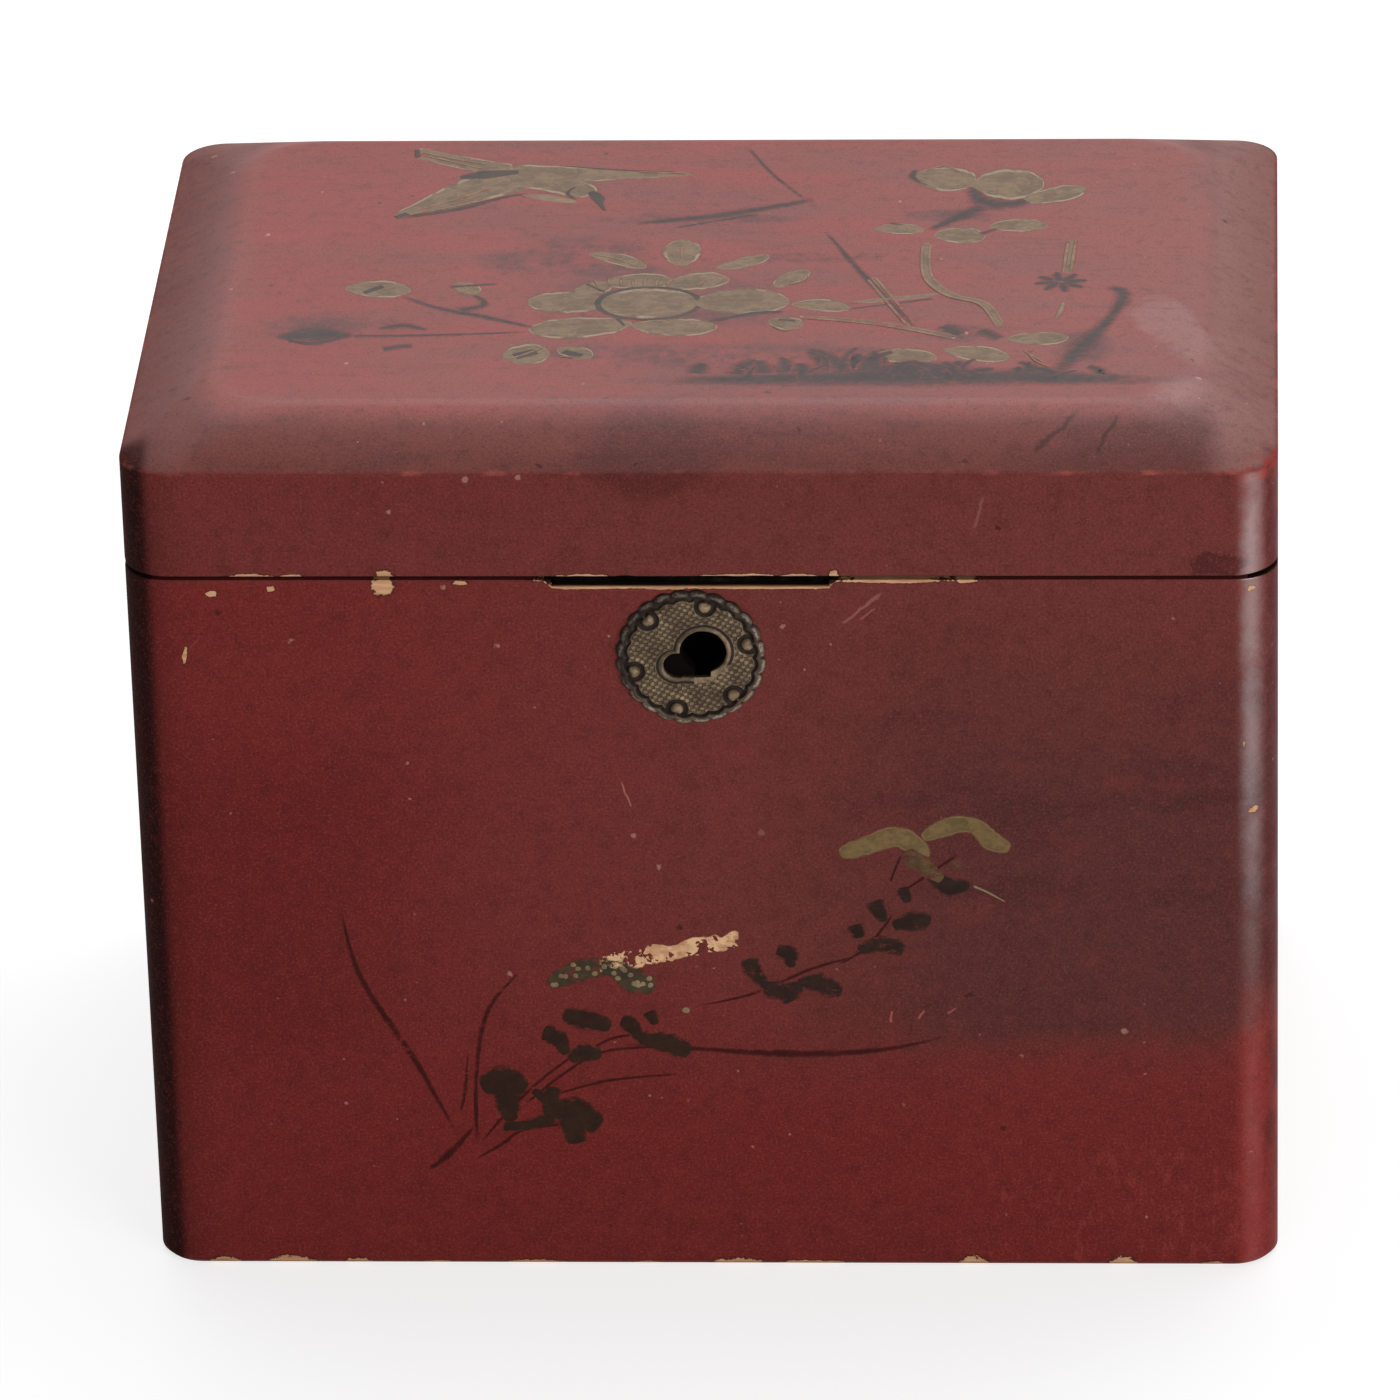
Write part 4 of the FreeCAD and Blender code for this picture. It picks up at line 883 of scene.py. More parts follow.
ink.strokes((
    ([(-46, 16.2), (-37, 19.4), (-28.6, 24.4), (-20.6, 21)], (0.3, 0.5, 0.5, 0.6)),
    ([(-20.4, 27.6), (-22, 25), (-20.6, 22.4)], (0.3, 0.5, 0.4)),
    ([(-24, 34.4), (-14, 32.6), (-6, 32)], (0.2, 0.5, 0.3)),
    ([(-23.4, -20.4), (-31, -16.6), (-38, -13.6), (-43.6, -9.4)], (0.5, 1, 0.8, 0.5)),
    ([(-35.4, -14.6), (-31.6, -12.4), (-33.4, -9)], (1.6, 0.9, 0.4)),
    ([(-37, -6.6), (-30, -5.6)], (0.6, 0.5)),
    ([(-25, -21.4), (-38, -22.4), (-50, -22.6)], (0.4, 0.7, 0.5)),
    ([(-60.2, -22.8), (-54.6, -22.4), (-49.2, -22.4)], (0.6, 3.6, 0.6)),
    ([(-46, -20.2), (-42.4, -19.2), (-39, -20.8)], (0.4, 1.3, 0.4)),
    ([(-45, -26.8), (-40.6, -25.6)], (1.2, 0.9)),
    ([(28, 32.8), (27.6, 29.8), (30.4, 27)], (0.5, 0.9, 0.4)),
    ([(36.2, 27.4), (37.8, 21.8), (42.6, 21), (47.2, 25)], (0.8, 2.4, 1.6, 0.4)),
    ([(38.2, 20.6), (34.6, 16.2), (30.2, 11.8)], (1.8, 1.5, 0.6)),
    ([(24.6, 14.4), (29.4, 12.6)], (0.4, 0.4)), ([(37.8, 10.6), (40.2, 12.4)], (0.8, 0.5)),
    ([(3.4, 40.4), (7.4, 31), (12.4, 22.4)], (0.3, 0.5, 0.3)),
    ([(15.6, 11.8), (22, -4), (29.6, -20.6)], (0.3, 0.8, 0.4)),
    ([(-12, 14.4), (1, 17.4), (14, 22.6)], (0.6, 1.4, 0.8)), ([(-6, 13), (6, 17.6)], (0.4, 0.7)),
    ([(19.6, -14.2), (31.8, -10.8)], (0.3, 0.5)), ([(33, -19.6), (36, -22.4)], (1.6, 2.4)),
    ([(38.4, -21), (41.4, -24)], (1.3, 1.6)),
    ([(56, -6.8), (58.4, -9.4), (56.6, -17), (53.2, -25.6), (48.5, -36.5)],
     (0.8, 1.7, 1.2, 2, 1.5))))
star_x, star_y = 49.5, -5.4
for ray in range(10, 370, 45):
    way_x, way_y = math.cos(math.radians(ray)) * 3.9, math.sin(math.radians(ray)) * 3.5
    ink.stroke([(star_x, star_y), (star_x + way_x * 0.6, star_y + way_y * 0.5),
                (star_x + way_x, star_y + way_y)], (1.4, 1.1, 0.5), steps=6)
strip_of_ground = [(-4, -37), (12, -36.5), (28, -35.9), (45, -36.2), (63, -37.2)]
ink.stroke(strip_of_ground, (1.2, 2.6, 3.9, 3.0, 1.5), steps=48)
random.seed(21)
for _ in range(60):                     # grass along the strip
    x = random.choice((random.uniform(-2, 62), random.uniform(14, 36)))
    y = random.uniform(-37.6, -34.6)
    lean, tall = random.uniform(-4.6, 4.6), random.uniform(0.6, 3.0)
    tall += 6.0 if 16 < x < 25 else 2.4 if x < 36 else 1
    widths = random.uniform(1.2, 3.2), random.uniform(0.6, 2.0), random.uniform(0.2, 0.8)
    ink.stroke([(x, y), (x + lean * 0.3, y + tall * 0.6), (x + lean, y + tall)], widths, steps=8)
ink_on_lid = ink.dry("black_on_lid", shade)
dark_line = worn_paint("outline_black", (72, 58, 50), (66, 50, 44), 0.0, 0.35, 0.7)
outline_on_lid = outline.dry("dark_outlines_on_lid", dark_line)
for piece in (gold_on_lid, light_on_lid, ink_on_lid, outline_on_lid):
    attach(piece, "lid")

# ---- Painted front ------------------------------------------------------------------------
# Grasses and a lobed plant that grow from the lower left, in thin black, grey green and gold. The
# paint is thicker than on the lid and less rubbed.


def on_front(x, z, height):
    return Vector((x, front_y - coat - height + 0.005, z))


blades = Paint(on_front, 0, 1.8)
blades.strokes((
    ([(-51.6, 58.2), (-49.2, 47), (-42, 33.6), (-36.4, 21.4)], (0.08, 0.36, 0.4, 0.12)),
    ([(-26.4, 48.2), (-31.4, 41.6), (-33.4, 31), (-33.6, 19.4)], (0.08, 0.3, 0.26, 0.22)),
    ([(-34.4, 35), (-35, 29), (-35.8, 25.2)], (0.06, 0.24, 0.14)),
    ([(-40.6, 15.8), (-37.6, 18.4), (-33.8, 23)], (0.22, 0.5, 0.12)),
    ([(-34, 17.4), (-30, 20), (-27, 22.2), (-20, 23.4)], (0.1, 0.26, 0.18, 0.2)),
    ([(-33.2, 20), (-29, 25.4), (-23.6, 31), (-18, 35.6)], (0.1, 0.24, 0.2, 0.2)),
    ([(-27, 26), (-21, 31.4), (-14.6, 35.2), (-3, 36)], (0.1, 0.2, 0.2, 0.2)),
    ([(-22.4, 28), (-14.4, 30.4), (-4.6, 31.4)], (0.08, 0.22, 0.08)),
    ([(-19, 34), (-14.4, 37), (-11, 37.8)], (0.12, 0.2, 0.2)),
    ([(-12.8, 36.2), (-2.8, 35.6), (11.6, 34.7), (24, 35.4), (33.6, 37.6)],
     (0.2, 0.26, 0.5, 0.34, 0.1)),
    ([(-2, 42.4), (6, 44.4), (14.4, 48.4), (20.6, 50.4)], (0.06, 0.2, 0.24, 0.1)),
    ([(18.4, 49.2), (22.4, 52), (26.4, 57.6)], (0.1, 0.24, 0.12)),
    ([(25.8, 62.4), (27.4, 66.6)], (0.14, 0.14)),
    ([(26.4, 60), (30.4, 63), (35.4, 66.8)], (0.1, 0.2, 0.16))))
thin_black = worn_paint("grass_black", (58, 21, 20), (66, 23, 22), 0.16, 0.8, 0.9, cover=0.9)
blades_piece = blades.dry("grasses_on_front", thin_black)

leaves = Paint(on_front, 1, 1.2)
leaves.strokes((
    ([(-33, 29.4), (-29.6, 30.2), (-26.2, 28.8)], (1.4, 2.6, 1.6)),
    ([(-29.2, 29.4), (-28.8, 23.4)], (2.6, 0.8)),
    ([(-30, 22.8), (-26.4, 23), (-22.4, 24.2)], (0.9, 0.8, 1.2)),
    ([(-23.2, 23.8), (-22.6, 29.4)], (1, 1.4)), ([(-25.4, 28.8), (-23.4, 27)], (0.6, 0.9)),
    ([(-22.6, 25), (-19.6, 25.2), (-16, 22.6)], (1.4, 2.4, 1.8)),
    ([(-20.4, 24.8), (-19.2, 20)], (2.4, 1.4)),
    ([(-20.8, 41.4), (-17.6, 40.2), (-13.8, 39.2)], (1.4, 1.6, 1.2)),
    ([(-23.8, 38.2), (-21.6, 37.2), (-20.4, 34.4)], (1.4, 1.4, 0.7)),
    ([(-20.2, 33.6), (-18, 34.8), (-15.4, 34.6)], (0.8, 1.5, 1)),
    ([(-12.6, 40.2), (-11.2, 39.4), (-10, 37)], (1.2, 1.3, 0.7)),
    ([(-8.6, 41.6), (-7.6, 39.4)], (1.2, 0.5)),
    ([(-10.6, 37.4), (-6, 36.4), (-2.8, 34.8)], (0.9, 1.7, 1.5))), 5)
dark_green = worn_paint("leaf_black", (46, 34, 25), (44, 28, 22), 0.04, 0.4, 0.9, cover=0.95)
leaves_piece = leaves.dry("leaves_on_front", dark_green)

far_leaves = Paint(on_front, 1, 1.35)
far_leaves.strokes((
    ([(5.6, 50.2), (6.8, 47.4), (9, 44.8)], (1.5, 1, 0.7)),
    ([(7.4, 45.6), (10.8, 44.8), (13.2, 46)], (1.1, 1.6, 0.8)),
    ([(10.6, 44.6), (11.4, 43)], (1.4, 0.8)),
    ([(12.4, 46.2), (15.4, 46.2), (18.8, 44.4)], (0.6, 1.5, 1.3)),
    ([(9.6, 51.6), (11.4, 50.8), (11.6, 48.6)], (1, 1.2, 0.5)),
    ([(20.8, 55.6), (21.4, 53.4)], (1.2, 0.7)),
    ([(21, 51.4), (24.4, 52.4), (28, 51.4)], (0.7, 1.3, 1.1)),
    ([(23.4, 59.4), (25, 56)], (1.4, 0.5)),
    ([(26, 55.2), (29, 56.2), (31.6, 56)], (0.8, 1.5, 1)),
    ([(27.6, 61.6), (28.2, 59)], (1, 0.5)),
    ([(30.8, 64.2), (34, 61.8), (37.2, 62)], (0.8, 1.4, 0.6))), 5)
green_black = worn_paint("far_leaf_black", (47, 34, 28), (50, 32, 28), 0.12, 0.5, 1.0, cover=0.96)
far_piece = far_leaves.dry("far_leaves_on_front", green_black)

crescent = Paint(on_front, 1, 1.3)
crescent.stroke([(-22.9, 45.6), (-18.6, 48.0), (-14.0, 48.6), (-10.6, 46.6), (-7.2, 45.6)],
                (1.2, 1.7, 1.3, 1.9, 1.4), 6, 24)
grey_green = worn_paint("grey_green", (72, 63, 47), (56, 46, 36), 0.14, 0.4, 0.9)
crescent_piece = crescent.dry("flower_head_on_front", grey_green)
dots = Paint(on_front, 2, 1.2)
dotted_line = [(-22.4, 45.8), (-18.6, 48.2), (-14, 48.6), (-10.6, 46.8), (-7.6, 45.8)]
random.seed(5)
for _ in range(22):
    (x, z), _ = along_line(dotted_line, random.uniform(0.05, 0.95))
    dots.leaf(x + random.uniform(-0.5, 0.5), z + random.uniform(-1.0, 1.0),
              random.uniform(0, 180), 0.9, 0.42)
dots.leaf(-3.4, 41.8, 0, 1.2, 0.55)
dots.stroke([(37.4, 61.8), (39.4, 60.8), (42.0, 59.2)], (0.2, 0.16, 0.08))
pale_paint = worn_paint("pale_dots", (140, 122, 94), (110, 86, 66), 0.0, 0.5, 0.3)
dots_piece = dots.dry("pale_dots_on_front", pale_paint)

heads = Paint(on_front, 1, 1.12)
heads.strokes((
    ([(18.6, 66.8), (22.2, 68), (26.6, 69.6), (29.6, 68), (31, 66)],
     (1.3, 1.5, 1.7, 1.6, 0.9)),
    ([(30.2, 69.2), (34, 71.2), (37.6, 71.4), (40, 69), (42.8, 67.6)],
     (1.1, 1.5, 1.3, 1.6, 1.1))), 6, 24)
old_gold = worn_paint("old_gold", (118, 96, 64), (104, 80, 52), 0.1, 0.3, 0.4,
                      line=(134, 112, 78), metal=0.1)
heads_piece = heads.dry("gold_heads_on_front", old_gold)
faint = Paint(on_front, 2)
faint.stroke([(27.8, 67.4), (30.6, 64.8), (33.4, 62.4)], (1.6, 1.8, 0.8), 5)
faint.leaf(35.0, 65.0, 20, 3.6, 1.0)
rubbed_gold = worn_paint("rubbed_gold", (96, 76, 52), (96, 70, 50), 0.36, 0.5, 0.8)
faint_piece = faint.dry("faint_gold_on_front", rubbed_gold)
for piece in (blades_piece, leaves_piece, far_piece, crescent_piece, dots_piece, heads_piece,
              faint_piece):
    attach(piece, "case")

# ---- Boards -------------------------------------------------------------------------------
# Softwood boards, pegged at the corners. The lacquer covers their outsides; the edges that meet at
# the seam and the insides have a thin dark wash that age has browned.


def dress(nodes, material):
    """Gives CAD pieces their finish."""
    for name in nodes:
        slots = frame["nodes"][name].material_slots
        if not slots:
            frame["nodes"][name].data.materials.append(material)
        for slot in slots:
            slot.material = material


keyhole = next(o for o in frame["record"]["physics"]["openings"] if o["name"] == "keyhole")
key_x, _, key_z = [(low + high) / 2 / mm for low, high in zip(*keyhole["box_m"])]
wood = Finish("softwood")
wood_x, wood_y, wood_z = wood.axes()
grain = wood.cloud(1.2, (0.1, 1, 1), detail=4)
scuffed = wood.cloud(2.5, detail=5, roughness=0.7).rise(0.62, 0.74)
lock_long = lock_high - lock_low
from_lock = abs(wood_x + 1)
torn = abs(wood_z - box_top + 0.9).rise(0.45, 0.15) * wood_y.rise(front_y + 1.6, front_y + 1.2)
torn = torn * from_lock.rise(lock_long, lock_long / 2) * scuffed.most(0.55)
under = wood_z.rise(0.5, 0.2) * 0.55
# Painted shade: near black on the top of the lip before the lock, in the gap under the lid.
lip = (wood_y + (grain - 0.5) * 0.3).rise(front_y + 0.25, front_y + 0.45)
lip = lip * wood_y.rise(front_y + 1.7, front_y + 1.5) * wood_z.rise(box_top - 1.4, box_top - 1.2)
lip = lip * from_lock.rise(20.2, 19.4)
# Painted shade with grime: the wood round the keyhole near black, where it lies in shade behind the
# plate.
keyhole_shade_and_grime = ((wood_x - key_x) ** 2 + (wood_z - key_z) ** 2).rise(90, 60) * wood_y.rise(0, -10)
wash = wood.mix(grain.rise(0.35, 0.7), tone(36, 22, 20), tone(58, 36, 30))
wood_colour = wood.washes(wash, (
    (scuffed * 0.4, tone(116, 80, 58)), (torn.most(under), bare_wood_colour(wood)),
    (lip * 0.95, tone(8, 6, 5)), (keyhole_shade_and_grime, tone(13, 9, 8))))
wood.surface(wood_colour, 0.6 + keyhole_shade_and_grime * 0.2, height=grain, depth=0.08, gloss=0.02)
dress(["front_board", "back_board", "left_board", "right_board", "bottom_board", "lid_front_rail",
       "lid_back_rail", "lid_left_rail", "lid_right_rail", "lid_top_board"], wood.material)

# ---- Pegs ---------------------------------------------------------------------------------
# Split bamboo pegs driven through the corner laps and cut off flush, with their long fibres end on.
bamboo = Finish("bamboo")
fibres = bamboo.cloud(0.25, (1, 0.15, 1), detail=3, roughness=0.6)
bamboo_colour = bamboo.mix(fibres.rise(0.4, 0.62), tone(150, 112, 66), tone(196, 160, 104))
bamboo.surface(bamboo_colour, 0.5, height=fibres, depth=0.04)
dress(["box_corner_pegs", "lid_corner_pegs"], bamboo.material)

# ---- Liner --------------------------------------------------------------------------------
# Tinned sheet folded to a tray, soldered at its corners, with its edge rolled over a wire. The tin
# has dulled grey, stained brown low down where tea lay, with rust where it has worn through.
tinplate = Finish("tinplate")
_, _, tin_z = tinplate.axes()
spangle = tinplate.cloud(5, detail=2, roughness=0.4)
drawn = tinplate.cloud(0.6, (0.08, 0.08, 1), detail=3)
rust = tinplate.cloud(3.2, detail=5, roughness=0.75).rise(0.64, 0.72)
bright = tinplate.mix(spangle.rise(0.3, 0.7), tone(126, 124, 118), tone(162, 160, 153))
tin_colour = tinplate.washes(bright, (
    ((tin_z + spangle * 26).rise(42, 12) * 0.7, tone(92, 76, 60)), (rust * 0.8, tone(84, 46, 28))))
tinplate.surface(tin_colour, 0.42 + spangle * 0.16 + rust * 0.3, metal=0.85 - rust * 0.7,
                 height=drawn + spangle * 2, depth=0.05)
dress(["tin_liner"], tinplate.material)

# ---- Inner lid ----------------------------------------------------------------------------
# A flat board with a plug below, lacquered black over brown, and a turned knob on a tenon. It lies
# on the liner's rolled edge, so it was never handled but by the knob.
dark_lacquer = Finish("dark_lacquer")
dark_broad = dark_lacquer.cloud(16, detail=4)
dark_fine = dark_lacquer.cloud(0.6, detail=3, roughness=0.7)
dark_grain = dark_lacquer.cloud(1.5, (0.06, 1, 1), detail=4)
clouded = dark_lacquer.mix(dark_broad.rise(0.35, 0.68), tone(34, 18, 16), tone(56, 26, 22))
dark_colour = dark_lacquer.mix(dark_fine.rise(0.6, 0.76) * 0.4, clouded, tone(104, 62, 50))
dark_lacquer.surface(dark_colour, 0.38 + dark_broad * 0.2, height=dark_grain + dark_fine * 0.3,
                     depth=0.06, coat=0.06, gloss=0.3)
dress(["inner_lid_board"], dark_lacquer.material)

(knob_left, _, _), (knob_right, _, knob_top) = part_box("inner_lid_knob")
knob_half = (knob_right - knob_left) / 2 / mm
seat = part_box("inner_lid_board")[1][2] / mm
knob_tall = knob_top / mm - seat
# The turned line of the knob: radius and height, as shares of its own.
knob_line = [(0, 0), (0.69, 0), (0.715, 0.06), (0.7, 0.13), (0.6, 0.18), (0.52, 0.24), (0.5, 0.31),
             (0.56, 0.37), (0.74, 0.43), (0.9, 0.5), (0.985, 0.59), (1, 0.66), (0.97, 0.75),
             (0.86, 0.85), (0.66, 0.93), (0.4, 0.985), (0.16, 1), (0, 1)]
knob_bm = bmesh.new()
knob_verts = [knob_bm.verts.new((r * knob_half, 0, seat + h * knob_tall)) for r, h in knob_line]
knob_edges = [knob_bm.edges.new(pair) for pair in zip(knob_verts, knob_verts[1:])]
bmesh.ops.subdivide_edges(knob_bm, edges=knob_edges, cuts=2, smooth=1.0)
bmesh.ops.spin(knob_bm, geom=knob_bm.verts[:] + knob_bm.edges[:], axis=(0, 0, 1),
               cent=(0, 0, 0), angle=2 * math.pi, steps=56, use_merge=True)
bmesh.ops.remove_doubles(knob_bm, verts=knob_bm.verts, dist=0.001)
knob = finished(knob_bm, "turned_knob", dark_lacquer.material, 0.9)
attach(knob, "inner_lid")
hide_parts("inner_lid_knob")

# ---- Escutcheon ---------------------------------------------------------------------------
# Stamped brass plate: a lobed rim, a groove, a field of fine net, six bosses each in a sunk ring,
# and a lipped keyhole. It has worked round on its spikes, and the key has torn its lower side.
plate_turn = math.radians(60)
plate_radius, lobe_rise, lobes = 10.5, 0.4, 24
field_height = 0.72                     # of the net's ground over the wood
rim_width, rim_foot, rim_rise, rim_round = 1.2, 0.26, 0.6, 0.7
groove_inset, groove_width, groove_depth = 1.35, 0.28, 0.4
boss_radius, boss_rise = 0.85, 0.5
sunk_ring, sunk_width, sunk_depth = 1.22, 0.36, 0.4
raised_ring, raised_width, raised_height = 1.75, 0.18, 0.14
key_lip_rise, key_lip_width = 0.34, 0.34
round_up, round_radius_key = 2.0, 3.25
slot_down, slot_radius_key = 2.2, 1.95
boss_circle = 8.25
bosses = [math.radians(195 + 60 * i) for i in range(6)]
tear_left, tear_right, tear_low, tear_reach = -2.4, 2.73, -2.9, 4


def key_reach(angle):
    """From the plate's middle to the edge of its keyhole, at an angle clockwise from upright."""
    best = 0.0
    for along, radius in ((round_up, round_radius_key), (-slot_down, slot_radius_key)):
        way = along * math.cos(angle)
        inside = radius ** 2 - along ** 2 + way ** 2
        if inside > 0:
            best = max(best, way + math.sqrt(inside))
    across, rise = math.sin(angle + plate_turn), math.cos(angle + plate_turn)
    if rise < 0 and tear_left < across * tear_low / rise < tear_right:
        best = max(best, tear_low / rise)
    elif rise < 0 < across and tear_right * rise / across > tear_low:
        if best < tear_right / across < tear_reach:
            best = tear_right / across
    return best


def plate_form(u, v):
    """Height over the wood, depth of dirt, and how bare of net the plate is, at a place on it."""
    r, angle = math.hypot(u, v), math.atan2(u, v)
    lobe = abs(math.sin(angle * lobes / 2))
    inward = plate_radius - lobe_rise * (1 - lobe) - r
    rise, dirt, plain = field_height, 0.0, float(inward < 1.5)
    if inward < rim_width:
        round_in = min(1.0, max(0.0, inward) / rim_round)
        rise = rim_foot + rim_rise * math.sin(round_in * math.pi / 2)
        dirt = (1 - lobe) * 0.9 * max(0.0, 1 - inward / 1.1)
    groove = math.exp(-((inward - groove_inset) / groove_width) ** 2)
    rise -= groove_depth * groove
    dirt += 1.2 * groove
    for boss in bosses:
        away = math.hypot(u - boss_circle * math.sin(boss), v - boss_circle * math.cos(boss))
        plain = max(plain, float(away < 1.3))
        if away < 2:
            outside = max(0.0, r - boss_circle - 0.5)
            open_side = max(0.0, 1 - outside / 0.6)
            ring = math.exp(-((away - sunk_ring) / sunk_width) ** 4) * open_side
            raised = math.exp(-((away - raised_ring) / raised_width) ** 2) * open_side
            rise += boss_rise * math.sqrt(max(0.0, 1 - (away / boss_radius) ** 2))
            rise += raised_height * raised - sunk_depth * ring
            dirt += 1.3 * ring - 1.6 * max(0.0, 1 - away / 0.9)
    past_key = r - key_reach(angle)
    plain = max(plain, float(past_key < 0.7))
    torn_off = math.sin(angle + plate_turn) > 0.1 and math.cos(angle + plate_turn) < -0.2
    whole = 0.25 if torn_off else 1.0
    rise += key_lip_rise * whole * max(0.0, 1 - abs(past_key - 0.3) / key_lip_width)
    dirt += whole * math.exp(-((past_key - 0.86) / 0.26) ** 2)
    dirt += 0.5 * math.exp(-((past_key - 0.05) / 0.1) ** 2)
    bruise = noise.noise(Vector((u * 0.5, v * 0.5, 4.0)))
    bruise += 0.4 * noise.noise(Vector((u * 1.7, v * 1.7, 9.0)))
    return rise + 0.16 * bruise, min(1.0, max(0.0, dirt)), plain


plate_bm = bmesh.new()
grime_layer = plate_bm.verts.layers.float.new("grime")
plain_layer = plate_bm.verts.layers.float.new("plain")
bearing = plate_bm.verts.layers.float.new("bearing")
around = lobes * 14
ring_verts = bmesh.ops.create_circle(plate_bm, segments=around, radius=1)["verts"]
for i, vert in enumerate(ring_verts):
    vert[bearing] = 2 * math.pi * i / around
first = plate_bm.edges[:]
ring_edges = first
shares = [0.0, 0.0] + [i / 44 for i in range(1, 45)] + [1.0]
on_wood = (0, len(shares) - 1)          # the first and the last ring stand on the wood
for number, share in enumerate(shares):
    if number:
        ring_verts, ring_edges = next_ring(plate_bm, ring_edges)
    for vert in ring_verts:
        angle = vert[bearing]
        inner = key_reach(angle)
        outer = plate_radius - lobe_rise * (1 - abs(math.sin(angle * lobes / 2)))
        worn_rim = noise.noise(Vector((math.sin(angle) * 6, math.cos(angle) * 6, 2.0)))
        outer -= 0.16 * abs(worn_rim)
        r = inner + (outer - inner) * share
        height, dirt, plain = plate_form(r * math.sin(angle), r * math.cos(angle))
        if number in on_wood:
            height, dirt = 0.02, 1.0
        vert[grime_layer] = dirt
        vert[plain_layer] = plain
        spun = angle + plate_turn
        vert.co = Vector((plate_x + r * math.sin(spun), front_y - height,
                          plate_z + r * math.cos(spun)))
bmesh.ops.bridge_loops(plate_bm, edges=first + ring_edges)

patina = Finish("old_brass")
pat_x, _, pat_z = patina.axes()
waver = (patina.cloud(2.2, detail=2) - 0.5) * 0.5
net_turn = plate_turn / 5
net_u = pat_x * math.cos(net_turn) + pat_z * math.sin(net_turn) + waver
net_v = pat_z * math.cos(net_turn) - pat_x * math.sin(net_turn) + waver
pits = (net_u.wave(1.18) * net_v.wave(1.02)).rise(-0.3, 0.36)
grime = patina.own("grime")
net = pits * grime.rise(0.3, 0.05) * (1 - patina.own("plain"))
tarnish = patina.cloud(2.6, detail=5, roughness=0.65)
grit = patina.cloud(0.4, detail=3, roughness=0.7)
from_x, from_z = pat_x - plate_x, pat_z - plate_z
from_middle = (from_x ** 2 + from_z ** 2) ** 0.5
# The rim is painted dark on its upper left, as painted shade, and lighter on its lower right, with
# a thin painted highlight along its lit edge; the same dark colour is also the grime in the
# hollows.
lit_side = (from_x * 0.5 - from_z * 0.8 + (tarnish - 0.5) * 16).rise(-6, 7)
rim_highlight = abs(from_middle + (tarnish - 0.5) * 1.6 - 9.95).rise(0.3, 0.1) * (0.35 + lit_side * 0.65)
shade_and_grime = tone(27, 18, 15)
rim_colour = patina.washes(shade_and_grime, (
    (lit_side, tone(82, 66, 54)),
    (rim_highlight * grit.rise(0.36, 0.54) * 0.85, tone(150, 134, 120))))
brass_colour = patina.washes(tone(94, 78, 61), (
    (tarnish.rise(0.36, 0.64), tone(138, 117, 92)),
    (grit.rise(0.52, 0.7) * 0.4, tone(66, 52, 40)),
    (from_middle.rise(8.8, 9.3) * 0.95, rim_colour),
    (net * 0.72, tone(52, 40, 30)),
    ((grime + (grit - 0.5) * 0.4).rise(0.25, 0.7) * 0.95, shade_and_grime)))
patina.surface(brass_colour, 0.46 + tarnish * 0.16 + grime * 0.2, metal=0.45 - grime * 0.35,
               height=tarnish + grit * 0.6 - net * 3.0, depth=0.1, gloss=0.2)
plate_piece = finished(plate_bm, "lobed_escutcheon", patina.material, 0.8)
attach(plate_piece, "case")
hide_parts("escutcheon")

# ---- Lock ---------------------------------------------------------------------------------
# A small brass box lock let into the front board: plate, case, four riveted posts, a flat spring
# and the bolt. The link plate in the lid's front rail carries the staple for the bolt.


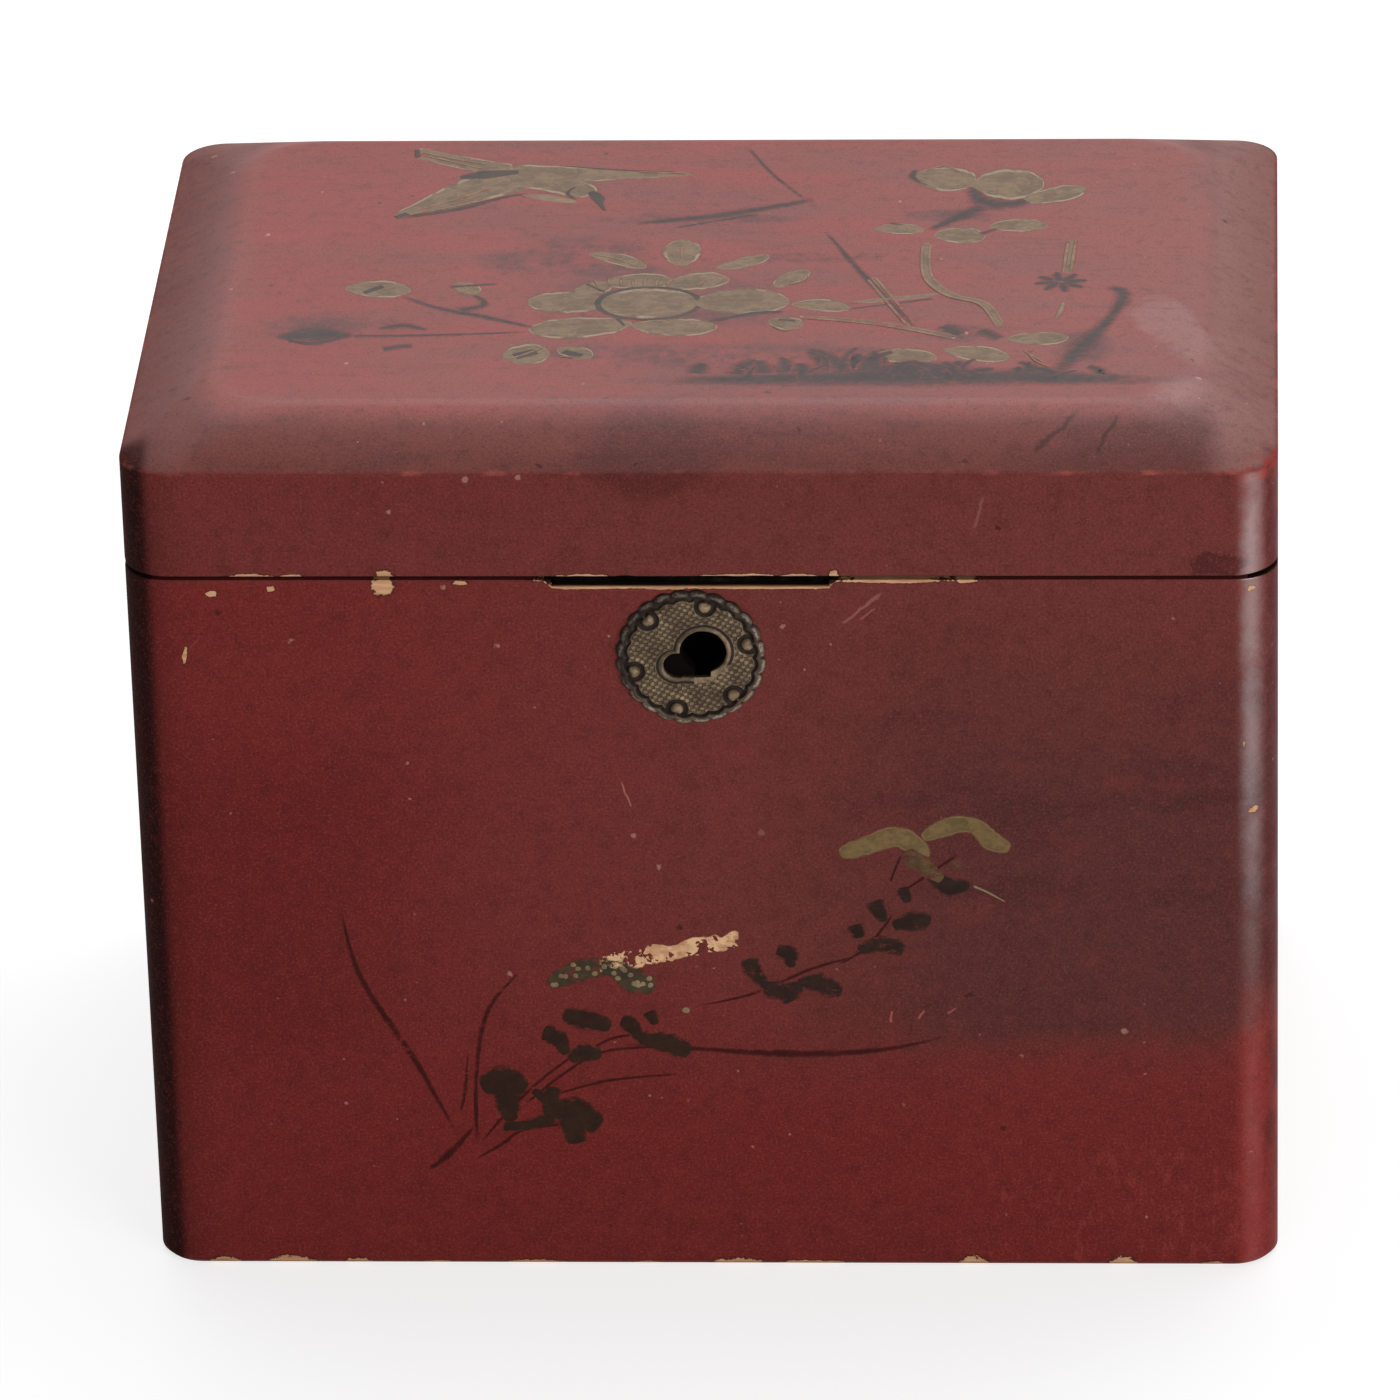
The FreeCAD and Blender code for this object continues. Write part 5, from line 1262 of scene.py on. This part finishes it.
def aged_brass(name, body, worn_tone, dark, metal, keyhole_shaded=False):
    """Brass, brown with age and brighter where it has rubbed, and maybe painted near black round
    the keyhole, as painted shade for the dark inside the lock.
    """
    f = Finish(name)
    age = f.cloud(2.2, detail=5, roughness=0.65)
    file_marks = f.cloud(0.3, (0.1, 1, 1), detail=3)
    colour = f.mix(age.rise(0.38, 0.6), tone(*dark), tone(*body))
    colour = f.mix(age.rise(0.56, 0.72) * 0.7, colour, tone(*worn_tone))
    if keyhole_shaded:
        # Painted shade: near black round the keyhole, where the inside of the lock lies in the
        # dark.
        x, y, z = f.axes()
        shade_and_grime = ((x - key_x) ** 2 + (z - key_z) ** 2).rise(110, 70)
        shade_and_grime = shade_and_grime * y.rise(front_y + 9, front_y + 7)
        colour = f.mix(shade_and_grime, colour, tone(8, 7, 7))
        metal = (1 - shade_and_grime) * metal
    f.surface(colour, 0.38 + age * 0.22, metal=metal, height=file_marks + age * 0.6, depth=0.03,
              gloss=0.01 if keyhole_shaded else 0.3)
    return f.material


dress(["lock_posts", "lock_bolt", "link_plate"],
      aged_brass("lock_brass", (120, 94, 56), (170, 140, 86), (66, 48, 30), 0.85))
# Plate and case are painted near black: painted shade for the dark gap under the lid and for the
# lock seen through the keyhole.
dress(["lock_plate", "lock_case"],
      aged_brass("black_brass", (17, 13, 12), (44, 35, 26), (8, 7, 6), 0.3, keyhole_shaded=True))
screw_brass = aged_brass("screw_brass", (120, 96, 60), (170, 142, 92), (64, 50, 34), 0.85)
dress(["lock_screws", "link_plate_screws", "hinge_screws_box", "hinge_screws_lid"], screw_brass)
blued = Finish("blued_spring")
heat = blued.cloud(3, detail=3)
blued_colour = blued.mix(heat.rise(0.35, 0.7), tone(58, 62, 76), tone(96, 86, 84))
blued.surface(blued_colour, 0.3 + heat * 0.2, metal=0.9, height=heat, depth=0.02)
dress(["lock_spring"], blued.material)

# ---- Hinges -------------------------------------------------------------------------------
# Two butt hinges of sheet brass, their knuckles rolled round iron pins with riveted ends, housed in
# the back board and the back rail with three screws in each leaf.
dress([f"hinge_leaf_{part}_{side}" for part in ("box", "lid") for side in ("left", "right")],
      aged_brass("hinge_brass", (126, 98, 58), (172, 142, 90), (72, 52, 32), 0.85))
pin_iron = Finish("iron_wire")
flaky = pin_iron.cloud(0.8, detail=4, roughness=0.7)
iron_colour = pin_iron.mix(flaky.rise(0.42, 0.62), tone(74, 68, 62), tone(92, 54, 36))
pin_iron.surface(iron_colour, 0.45 + flaky * 0.3, metal=0.8 - flaky * 0.5, height=flaky, depth=0.04)
dress(["hinge_pin_left", "hinge_pin_right"], pin_iron.material)
